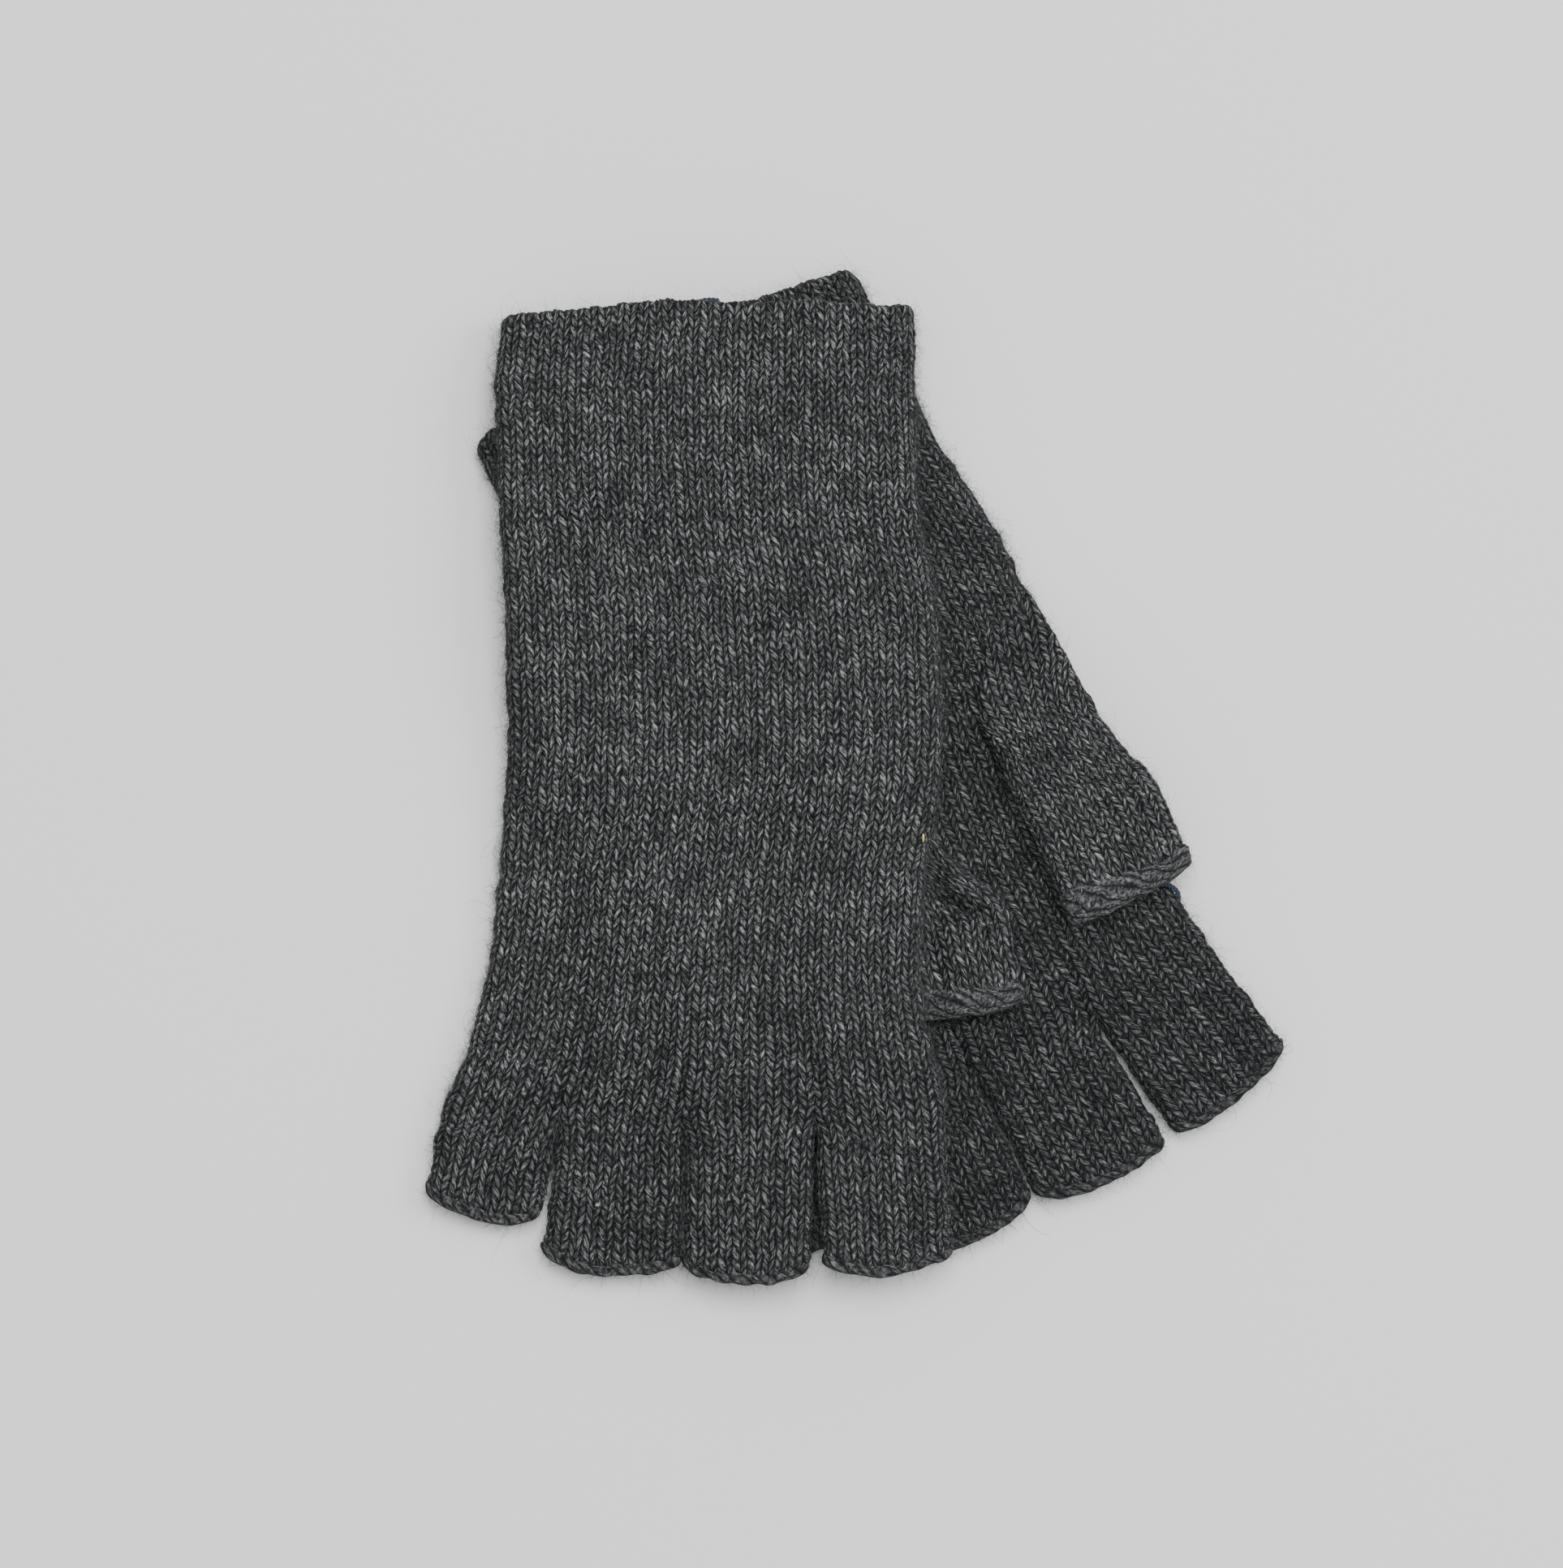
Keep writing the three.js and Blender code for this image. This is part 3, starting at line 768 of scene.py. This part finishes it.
def node(tree, kind, **settings):
    made = tree.nodes.new(kind)
    for key, value in settings.items():
        if key in made.inputs:
            made.inputs[key].default_value = value
        else:
            setattr(made, key, value)
    return made


def math_node(tree, operation, a, b=None, clamp=False):
    made = tree.nodes.new("ShaderNodeMath")
    made.operation = operation
    made.use_clamp = clamp
    for socket, value in zip(made.inputs, (a, b)):
        if value is None:
            continue
        if isinstance(value, (int, float)):
            socket.default_value = value
        else:
            tree.links.new(value, socket)
    return made.outputs[0]


def ramp(tree, value, low, high, to_low, to_high):
    made = tree.nodes.new("ShaderNodeMapRange")
    tree.links.new(value, made.inputs["Value"])
    for key, number in (("From Min", low), ("From Max", high), ("To Min", to_low), ("To Max", to_high)):
        made.inputs[key].default_value = number
    return made.outputs["Result"]


def noise(tree, x, y, z, scale, detail=2.0, roughness=0.5):
    place = tree.nodes.new("ShaderNodeCombineXYZ")
    for socket, value in zip(place.inputs, (x, y, z)):
        if isinstance(value, (int, float)):
            socket.default_value = value
        else:
            tree.links.new(value, socket)
    made = tree.nodes.new("ShaderNodeTexNoise")
    tree.links.new(place.outputs[0], made.inputs["Vector"])
    made.inputs["Scale"].default_value = scale
    made.inputs["Detail"].default_value = detail
    made.inputs["Roughness"].default_value = roughness
    return made.outputs["Fac"]


def material(name, roughness, sheen=0.0, specular=0.02):
    made = bpy.data.materials.new(name)
    made.use_nodes = True
    shader = made.node_tree.nodes["Principled BSDF"]
    shader.inputs["Roughness"].default_value = roughness
    shader.inputs["Specular IOR Level"].default_value = specular
    shader.inputs["Sheen Weight"].default_value = sheen
    shader.inputs["Sheen Roughness"].default_value = 0.6
    shader.inputs["Sheen Tint"].default_value = (0.8, 0.85, 0.95, 1)
    return made, made.node_tree, shader


def finish_knit(tree, shader, brightness, bump_height, dark, light):
    """Brightness from 0 to 1 picks a colour between dark and light wool."""
    colours = tree.nodes.new("ShaderNodeMix")
    colours.data_type = "RGBA"
    tree.links.new(brightness, colours.inputs["Factor"])
    colours.inputs["A"].default_value = (*dark, 1)
    colours.inputs["B"].default_value = (*light, 1)
    tree.links.new(colours.outputs["Result"], shader.inputs["Base Color"])
    bump = tree.nodes.new("ShaderNodeBump")
    bump.inputs["Distance"].default_value = 0.00022
    bump.inputs["Strength"].default_value = 0.8
    tree.links.new(bump_height, bump.inputs["Height"])
    tree.links.new(bump.outputs[0], shader.inputs["Normal"])
    tree.links.new(ramp(tree, bump_height, 0, 1, 0.97, 0.82), shader.inputs["Roughness"])


def knit_coordinates(tree):
    source = node(tree, "ShaderNodeAttribute", attribute_name="knit")
    split = tree.nodes.new("ShaderNodeSeparateXYZ")
    tree.links.new(source.outputs["Vector"], split.inputs[0])
    return split.outputs


def fibre_streaks(tree, x, y, seed, angle, fineness, length):
    """Streaks of fibre at an angle to the courses, in degrees."""
    cos, sin = math.cos(math.radians(angle)), math.sin(math.radians(angle))
    along = math_node(tree, "ADD", math_node(tree, "MULTIPLY", x, cos), math_node(tree, "MULTIPLY", y, sin))
    beside = math_node(tree, "SUBTRACT", math_node(tree, "MULTIPLY", y, cos),
                       math_node(tree, "MULTIPLY", x, sin))
    return noise(tree, math_node(tree, "DIVIDE", along, length),
                 math_node(tree, "MULTIPLY", beside, fineness), seed, 1.0, detail=2.5, roughness=0.62)


def product(tree, *values):
    result = values[0]
    for value in values[1:]:
        result = math_node(tree, "MULTIPLY", result, value)
    return result


def knit_material(name, dark, light):
    """Vs of woollen yarn: each leg has its own tone, with light and dark fibres along the yarn's twist, and painted
    shade in the gaps between legs.
    """
    made, tree, shader = material(name, 0.92, sheen=0.02)
    x, y, tone = knit_coordinates(tree)
    wale = math_node(tree, "DIVIDE", x, WALE)
    course = math_node(tree, "DIVIDE", y, COURSE)
    in_wale = math_node(tree, "FRACT", wale)
    on_right = math_node(tree, "GREATER_THAN", in_wale, V_POINT)
    up = math_node(tree, "MAXIMUM", ramp(tree, in_wale, 0, V_POINT, 1, 0),
                   ramp(tree, in_wale, V_POINT, 1, 0, 1))
    phase = math_node(tree, "ADD", course, math_node(tree, "MULTIPLY", up, V_DROP))
    t = math_node(tree, "FRACT", phase)
    across_leg = product(tree, t, math_node(tree, "SUBTRACT", 1, t), 4)
    along_leg = product(tree, up, math_node(tree, "SUBTRACT", 1, up), 4)
    leg_number = math_node(tree, "ADD", product(tree, math_node(tree, "FLOOR", phase), 7.31),
                           math_node(tree, "ADD", product(tree, math_node(tree, "FLOOR", wale), 3.77),
                                     product(tree, on_right, 1.93)))
    stitch = tree.nodes.new("ShaderNodeTexWhiteNoise")
    stitch.noise_dimensions = "1D"
    tree.links.new(leg_number, stitch.inputs["W"])
    depth = product(tree, leg_number, 0.37)
    left_leg = fibre_streaks(tree, x, y, depth, 57, 4.0, 0.9)
    right_leg = fibre_streaks(tree, x, y, depth, -71, 3.8, 0.9)
    legs = tree.nodes.new("ShaderNodeMix")
    tree.links.new(on_right, legs.inputs["Factor"])
    tree.links.new(left_leg, legs.inputs["A"])
    tree.links.new(right_leg, legs.inputs["B"])
    streak = math_node(tree, "POWER", ramp(tree, legs.outputs["Result"], 0.32, 0.72, 0, 1), 1.9)
    patches = ramp(tree, noise(tree, x, y, 1.0, 0.09, detail=3), 0.3, 0.7, 0.78, 1.22)
    rows = ramp(tree, noise(tree, product(tree, x, 0.3), y, 2.0, 0.42, detail=2), 0.3, 0.7, 0.76, 1.24)
    own = ramp(tree, math_node(tree, "POWER", stitch.outputs["Value"], 1.6), 0, 1, 0.72, 1.4)
    side = ramp(tree, on_right, 0, 1, 1.06, 0.9)
    # Painted shade: the gaps between legs and the ends of each leg are drawn darker, where shade falls among the
    # stitches.
    body = product(tree, ramp(tree, across_leg, 0.12, 0.9, 0.12, 1),
                   ramp(tree, along_leg, 0.06, 0.93, 0.04, 1.02))
    lit = product(tree, streak, own, side, patches, rows, tone)
    shade = math_node(tree, "MULTIPLY", lit, body, clamp=True)
    finish_knit(tree, shader, shade, legs.outputs["Result"], dark, light)
    return made


def band_material(name, dark, light):
    """Strands wound round a rolled edge, with fibres along them, and painted shade between the strands."""
    made, tree, shader = material(name, 0.92, sheen=0.02)
    x, phase, tone = knit_coordinates(tree)
    across = product(tree, phase, 1.5)
    strand_seed = product(tree, math_node(tree, "FLOOR", phase), 0.7)
    streaks = fibre_streaks(tree, x, across, strand_seed, 24, 3.6, 0.8)
    patches = ramp(tree, noise(tree, x, across, 3.0, 0.7, detail=3), 0.3, 0.7, 0.55, 1.15)
    t = math_node(tree, "FRACT", phase)
    # Painted shade: the wool is drawn darker in the crevices between the strands of the roll.
    strand_gap_shade = ramp(tree, product(tree, t, math_node(tree, "SUBTRACT", 1, t), 4), 0.05, 0.85, 0.05, 1)
    streak = math_node(tree, "POWER", ramp(tree, streaks, 0.3, 0.74, 0, 1), 1.7)
    shade = math_node(tree, "MULTIPLY", product(tree, streak, patches, tone), strand_gap_shade, clamp=True)
    finish_knit(tree, shader, shade, streaks, dark, light)
    return made


def plain_material(name, colour, roughness, metallic=0.0, sheen=0.0):
    made, _, shader = material(name, roughness, sheen)
    shader.inputs["Base Color"].default_value = (*colour, 1)
    shader.inputs["Metallic"].default_value = metallic
    return made


KNIT = knit_material("charcoal_knit", (0.0052, 0.0058, 0.006), (0.33, 0.337, 0.341))
BAND = band_material("edge_knit", (0.008, 0.0085, 0.0088), (0.25, 0.257, 0.26))
WOOL = plain_material("loose_wool", (0.07, 0.072, 0.073), 0.8)
YARN = plain_material("navy_yarn", (0.045, 0.058, 0.085), 0.85)
BRASS = plain_material("brass", (0.62, 0.44, 0.2), 0.32, metallic=1.0)


def dress(obj, look, slot):
    obj.data.materials.append(look)
    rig.slot(obj, slot)
    return obj


# ---------------------------------------------------------------- pieces

def row_point(side, u, v, z):
    x, y = in_row(side, u, v)
    return (x * MM, y * MM, z * MM)


def attach(obj, body, parent=None, span=None):
    """Rides on one body, or bends between its parent and it over a span of two points."""
    if parent is None:
        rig.ride(obj, body)
    else:
        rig.blend(obj, parent, body, *span)


def along_stall(side, name, s):
    """The middle of a stall at a distance from its root, in the row frame."""
    if name == "thumb":
        (u, v), lean = THUMBS[side]["root"], math.radians(THUMBS[side]["lean"])
    else:
        (u, v), lean = (FINGERS[side][name]["root"], FINGER_ROOT), math.radians(FINGERS[side][name]["lean"])
    return row_point(side, u + s * math.sin(lean), v + s * math.cos(lean), LAYER)


def hand_painted_shade(side):
    """Painted shade along a hand: the knit is drawn darker into the fingers, where less light falls."""
    return lambda v: GLOVE_PAINTED_SHADE[side] * (1 - (1 - FINGER_PAINTED_SHADE) * smoothstep(v, 135, FINGER_ROOT + 8))


# Painted shade along a finger stall, carried on from its hand's.
def finger_painted_shade(side):
    return lambda s: hand_painted_shade(side)(s + FINGER_ROOT)


def fibres(name, paths, radius):
    """Thin closed prisms along paths, [fibre, point, xyz] in mm, that taper to their ends."""
    count, points = paths.shape[:2]
    ahead = np.gradient(paths, axis=1)
    ahead /= np.maximum(np.linalg.norm(ahead, axis=-1, keepdims=True), 1e-9)
    beside = np.cross(ahead, [0.31, 0.52, 0.79])
    beside /= np.maximum(np.linalg.norm(beside, axis=-1, keepdims=True), 1e-9)
    other = np.cross(ahead, beside)
    taper = radius * (1 - 0.6 * np.linspace(0, 1, points) ** 2)[None, :, None]
    corners = [paths + taper * (math.cos(a) * beside + math.sin(a) * other)
               for a in (0, 2 * math.pi / 3, 4 * math.pi / 3)]
    vertices = np.stack(corners, 2).reshape(-1, 3) * MM
    sides = [(3 * p + k, 3 * p + (k + 1) % 3, 3 * p + 3 + (k + 1) % 3, 3 * p + 3 + k)
             for p in range(points - 1) for k in range(3)]
    last = 3 * (points - 1)
    base = 3 * points * np.arange(count)[:, None, None]
    quads = (base + np.array(sides)[None]).reshape(-1, 4)
    caps = (base + np.array([(2, 1, 0), (last, last + 1, last + 2)])[None]).reshape(-1, 3)
    mesh = bpy.data.meshes.new(name)
    mesh.vertices.add(len(vertices))
    mesh.vertices.foreach_set("co", vertices.astype(np.float32).ravel())
    starts = np.concatenate([np.arange(len(quads)) * 4, 4 * len(quads) + np.arange(len(caps)) * 3])
    mesh.loops.add(4 * len(quads) + 3 * len(caps))
    mesh.loops.foreach_set("vertex_index", np.concatenate([quads.ravel(), caps.ravel()]).astype(np.int32))
    mesh.polygons.add(len(starts))
    mesh.polygons.foreach_set("loop_start", starts.astype(np.int32))
    mesh.polygons.foreach_set("loop_total", np.repeat([4, 3], [len(quads), len(caps)]).astype(np.int32))
    mesh.update(calc_edges=True)
    return placed(name, mesh)


def add_fuzz(name, surface, wales, span, seed, attachment, mouth=None):
    """Loose fibres that stand out of the fabric: thickest at its edges and mouth, and a few of them long."""
    rng = np.random.default_rng(seed)
    start, end = span
    count = int(FUZZ_DENSITY * (end - start) * wales * WALE)
    w = rng.uniform(0, wales, count)
    at_edge = rng.random(count) < AT_EDGE
    w_edge = rng.choice([0, wales / 2], count) + rng.normal(0, 1.0, count)
    along = rng.uniform(start, end, count)
    if mouth is not None:
        at_mouth = rng.random(count) < AT_MOUTH
        at_edge = at_edge & ~at_mouth
        along = np.where(at_mouth, np.clip(mouth + rng.normal(0, 0.8, count), start, end), along)
    w = np.where(at_edge, w_edge, w)
    root = surface(w, along, BASE_INSET)
    normal = outward(surface, w, along, BASE_INSET)
    heading = rng.normal(size=(count, 3))
    heading -= normal * np.sum(heading * normal, -1, keepdims=True)
    heading /= np.linalg.norm(heading, axis=-1, keepdims=True)
    turned = np.cross(normal, heading)
    length = rng.gamma(3.0, 0.7, count)
    length = np.where(rng.random(count) < LONG, length + rng.uniform(3, 8, count), length)
    lift = rng.uniform(0.2, 1.0, count) * np.minimum(length, 4) * np.where(at_edge, 0.7, 0.4)
    curl = rng.normal(0, 1.6, count)
    t = np.linspace(0, 1, FUZZ_POINTS)
    angle = curl[:, None] * t
    run = length[:, None] * t * np.sinc(angle / (2 * math.pi))
    side_step = run * np.sin(angle / 2)
    rise = lift[:, None] * np.sin(t * math.pi * rng.uniform(0.4, 0.95, (count, 1)))
    wander = rng.normal(0, 0.12, (count, FUZZ_POINTS, 3)) * t[None, :, None]
    paths = (root[:, None] + heading[:, None] * (run * np.cos(angle / 2))[..., None]
             + turned[:, None] * side_step[..., None] + normal[:, None] * rise[..., None] + wander)
    paths[..., 2] = np.maximum(paths[..., 2], 0.05)
    obj = fibres(name, paths, FUZZ_RADIUS)
    dress(obj, WOOL, "charcoal_knit")
    attach(obj, *attachment)


def swept(name, path, radii, sides=10):
    """A closed round bar along a path in mm."""
    path = np.array(path, float)
    ahead = np.gradient(path, axis=0)
    ahead /= np.linalg.norm(ahead, axis=-1, keepdims=True)
    up = np.cross(ahead, [0.21, 0.34, 0.92])
    up /= np.linalg.norm(up, axis=-1, keepdims=True)
    other = np.cross(ahead, up)
    angle = np.arange(sides) / sides * 2 * math.pi
    spokes = np.cos(angle)[None, :, None] * up[:, None] + np.sin(angle)[None, :, None] * other[:, None]
    rings = path[:, None] + spokes * np.array(radii)[:, None, None]
    vertices = [tuple(p * MM) for p in rings.reshape(-1, 3)]
    rows = len(path)
    last = (rows - 1) * sides
    faces = [(r + k, r + (k + 1) % sides, r + sides + (k + 1) % sides, r + sides + k)
             for r in range(0, last, sides) for k in range(sides)]
    faces += [tuple(range(sides))[::-1], tuple(range(last, last + sides))]
    mesh = bpy.data.meshes.new(name)
    mesh.from_pydata(vertices, [], faces)
    mesh.polygons.foreach_set("use_smooth", np.ones(len(faces), bool))
    mesh.update()
    return placed(name, mesh)


def spline(points, count):
    """A smooth curve through points, as evenly stepped points."""
    points = np.array(points, float)
    padded = np.concatenate([[2 * points[0] - points[1]], points, [2 * points[-1] - points[-2]]])
    s = np.linspace(0, len(points) - 1 - 1e-6, count)
    i = s.astype(int)
    t = (s - i)[:, None]
    p0, p1, p2, p3 = (padded[i + k] for k in range(4))
    return 0.5 * (2 * p1 + (p2 - p0) * t + (2 * p0 - 5 * p1 + 4 * p2 - p3) * t ** 2
                  + (3 * p1 - p0 - 3 * p2 + p3) * t ** 3)


def build_marker_yarn(side, points, base, body):
    """A twisted end of marking yarn: two plies wound round each other."""
    centre = spline([(u, v, base(u, v) + z) for u, v, z in points], 60)
    x, y = in_row(side, centre[:, 0], centre[:, 1])
    centre = np.stack([x, y, centre[:, 2]], -1)
    ahead = np.gradient(centre, axis=0)
    ahead /= np.linalg.norm(ahead, axis=-1, keepdims=True)
    beside = np.cross(ahead, [0, 0, 1.0])
    beside /= np.linalg.norm(beside, axis=-1, keepdims=True)
    over = np.cross(ahead, beside)
    turn = np.linspace(0, 2 * math.pi * len(points) * 0.9, len(centre))[:, None]
    ends = np.minimum(np.linspace(0, 8, len(centre)), np.linspace(8, 0, len(centre)))
    for ply in range(2):
        angle = turn + ply * math.pi
        path = centre + YARN_RADIUS * 0.5 * (np.cos(angle) * beside + np.sin(angle) * over)
        obj = swept(f"{side}_marker_ply_{ply + 1}", path, YARN_RADIUS * 0.52 * np.clip(0.4 + ends, 0, 1))
        dress(obj, YARN, "navy_yarn")
        attach(obj, body)
        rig.replaces(obj, f"{side}_marker_yarn")


def build_staple():
    """A brass wire staple: a bar along the glove, with both ends bent down into the knit."""
    u, v = STAPLE["at"]
    half, radius = STAPLE["length"] / 2, STAPLE["radius"]
    low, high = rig.box("brass_staple")
    z = (low.z + high.z) / 2 / MM
    bends = [(v - half + radius, z - 1.3), (v - half + radius, z - 0.3), (v - half + 1.6 * radius, z),
             (v + half - 1.6 * radius, z), (v + half - radius, z - 0.3), (v + half - radius, z - 1.3)]
    path = spline([(*in_row("right", u, along), height) for along, height in bends], 30)
    obj = swept("brass_wire_staple", path, np.full(len(path), radius), sides=12)
    dress(obj, BRASS, "brass")
    attach(obj, "right_hand")
    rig.replaces(obj, "brass_staple")


def build_hand(side):
    surface = hand_surface(side)
    body = f"{side}_hand"
    course = (FINGER_ROOT - CUFF_LENGTH) / HAND_COURSES
    half = HAND_COURSES // 2
    for part, first, last in (("palm", 0, half), ("knuckles", half, HAND_COURSES)):
        obj = knit_tube(f"{side}_{part}_knit", surface, WALES, first, last, course, hand_painted_shade(side),
                        at=CUFF_LENGTH, seed=3)
        dress(obj, KNIT, "charcoal_knit")
        attach(obj, body)
        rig.replaces(obj, f"{side}_hand")
        span = (CUFF_LENGTH + first * course, CUFF_LENGTH + last * course)
        add_fuzz(f"{side}_{part}_fuzz", surface, WALES, span, 31 + first + len(side), (body, None, None))


def cuff_attachment(side):
    if side == "left":
        return ("left_hand", None, None)
    return ("right_cuff", "right_hand", (row_point(side, 0, CUFF_LENGTH + 2, 0), row_point(side, 0, 36, 0)))


def build_cuff(side):
    surface = hand_surface(side)
    course = (CUFF_LENGTH - EDGE_LENGTH) / CUFF_COURSES
    cuff = knit_tube(f"{side}_cuff_knit", surface, WALES, -CUFF_COURSES, 0, course, hand_painted_shade(side),
                     at=CUFF_LENGTH, seed=3)
    dress(cuff, KNIT, "charcoal_knit")
    attach(cuff, *cuff_attachment(side))
    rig.replaces(cuff, f"{side}_cuff")
    last = -CUFF_COURSES
    edge = knit_tube(f"{side}_cuff_roll", rolled_mouth(surface), WALES, last - LIP_COURSES, last, course,
                     hand_painted_shade(side), at=CUFF_LENGTH, free=(True, False), seed=3,
                     inner=(surface, WALL, EDGE_LENGTH, EDGE_LENGTH + 1))
    dress(edge, KNIT, "edge_knit")
    attach(edge, cuff_attachment(side)[0])
    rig.replaces(edge, f"{side}_cuff_edge")
    add_fuzz(f"{side}_cuff_fuzz", surface, WALES, (0.3, CUFF_LENGTH), 41 + len(side), cuff_attachment(side),
             mouth=0.3)


def build_stall(side, name, surface, wales, length, tone, seed):
    body, hand = f"{side}_{name}", f"{side}_hand"
    courses = int((length - HEM_LENGTH + 1.2) / COURSE)
    course = (length - HEM_LENGTH + 1.0) / courses
    stall = knit_tube(f"{side}_{name}_knit", surface, wales, 0, courses, course, tone,
                      free=(False, True), seed=seed)
    dress(stall, KNIT, "charcoal_knit")
    bend = (body, hand, (along_stall(side, name, 1.5), along_stall(side, name, 12)))
    attach(stall, *bend)
    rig.replaces(stall, f"{side}_{name}_stall")
    roll = ROLLS["thumb" if name == "thumb" else "finger"]
    hem = rolled_band(f"{side}_{name}_hem_knit", surface, wales, length, roll, seed + 1, tone)
    dress(hem, BAND, "edge_knit")
    attach(hem, body)
    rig.replaces(hem, f"{side}_{name}_hem")
    add_fuzz(f"{side}_{name}_fuzz", surface, wales, (0, length), seed + 50, bend, mouth=length)


def build_thumb(side):
    surface = thumb_surface(side)
    spec = THUMBS[side]
    gusset_courses = int((spec["root"][1] - GUSSET_START[side]) / COURSE)

    # Painted shade on the thumb, easing into the hand's painted shade up the gusset.
    def tone(s):
        return THUMB_PAINTED_SHADE[side] + (GLOVE_PAINTED_SHADE[side] - THUMB_PAINTED_SHADE[side]) * smoothstep(-s, 4, 28)

    gusset = knit_tube(f"{side}_gusset_knit", surface, THUMB_WALES, -gusset_courses, 0, COURSE, tone, seed=8)
    dress(gusset, KNIT, "charcoal_knit")
    attach(gusset, f"{side}_hand")
    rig.replaces(gusset, f"{side}_thumb_gusset")
    build_stall(side, "thumb", surface, THUMB_WALES, spec["length"], tone, 8)


def build_glove(side):
    build_hand(side)
    build_cuff(side)
    build_thumb(side)
    for number, name in enumerate(FINGER_WALES):
        surface, wales = finger_surface(side, name)
        length = FINGERS[side][name]["length"]
        build_stall(side, name, surface, wales, length, finger_painted_shade(side), 12 + 2 * number)


for side_name in GLOVES:
    build_glove(side_name)
build_marker_yarn("right", CUFF_YARN, lambda u, v: drape(0, 0) + LAYER / 2, "right_cuff")
build_marker_yarn("left", PALM_YARN, lambda u, v: LAYER + YARN_RADIUS, "left_hand")
build_staple()


# ---------------------------------------------------------------- studio

SENSOR_WIDTH = 36
CAMERA_AT = (-0.0164, -0.0023, 2.6)
VIEW_WIDTH = 0.343                  # how much of the table shows, in metres


def build_floor():
    mesh = bpy.data.meshes.new("table")
    mesh.from_pydata([(-3, -3, 0), (3, -3, 0), (3, 3, 0), (-3, 3, 0)], [], [(0, 1, 2, 3)])
    table = placed("table", mesh)
    table.data.materials.append(plain_material("table_paint", (0.8, 0.8, 0.8), 0.9))
    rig.stage(table)


def add_light(name, place, size, power, target=(0, 0, 0)):
    data = bpy.data.lights.new(name, "AREA")
    data.shape = "DISK"
    data.size = size
    data.energy = power
    light = placed(name, data)
    light.location = place
    direction = light.location - type(light.location)(target)
    light.rotation_euler = direction.to_track_quat("Z", "Y").to_euler()


def build_studio():
    build_floor()
    world = bpy.data.worlds.new("studio")
    world.use_nodes = True
    world.node_tree.nodes["Background"].inputs["Color"].default_value = (1, 1, 1, 1)
    world.node_tree.nodes["Background"].inputs["Strength"].default_value = 0.68
    bpy.context.scene.world = world
    add_light("overhead", (0.3, 0.9, 3.2), 2.2, 108)
    add_light("side", (1.3, 0.3, 1.2), 1.0, 12, target=(0.12, 0, 0))
    camera = bpy.data.cameras.new("above")
    camera.sensor_width = SENSOR_WIDTH
    camera.lens = SENSOR_WIDTH * CAMERA_AT[2] / VIEW_WIDTH
    above = placed("above", camera)
    above.location = CAMERA_AT
    bpy.context.scene.camera = above


build_studio()
with open("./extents.json", "w") as sizes:
    json.dump({"cad": [list(c) for c in CAD_BOX], "visual": [list(c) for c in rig.bounds()]}, sizes, indent=1)
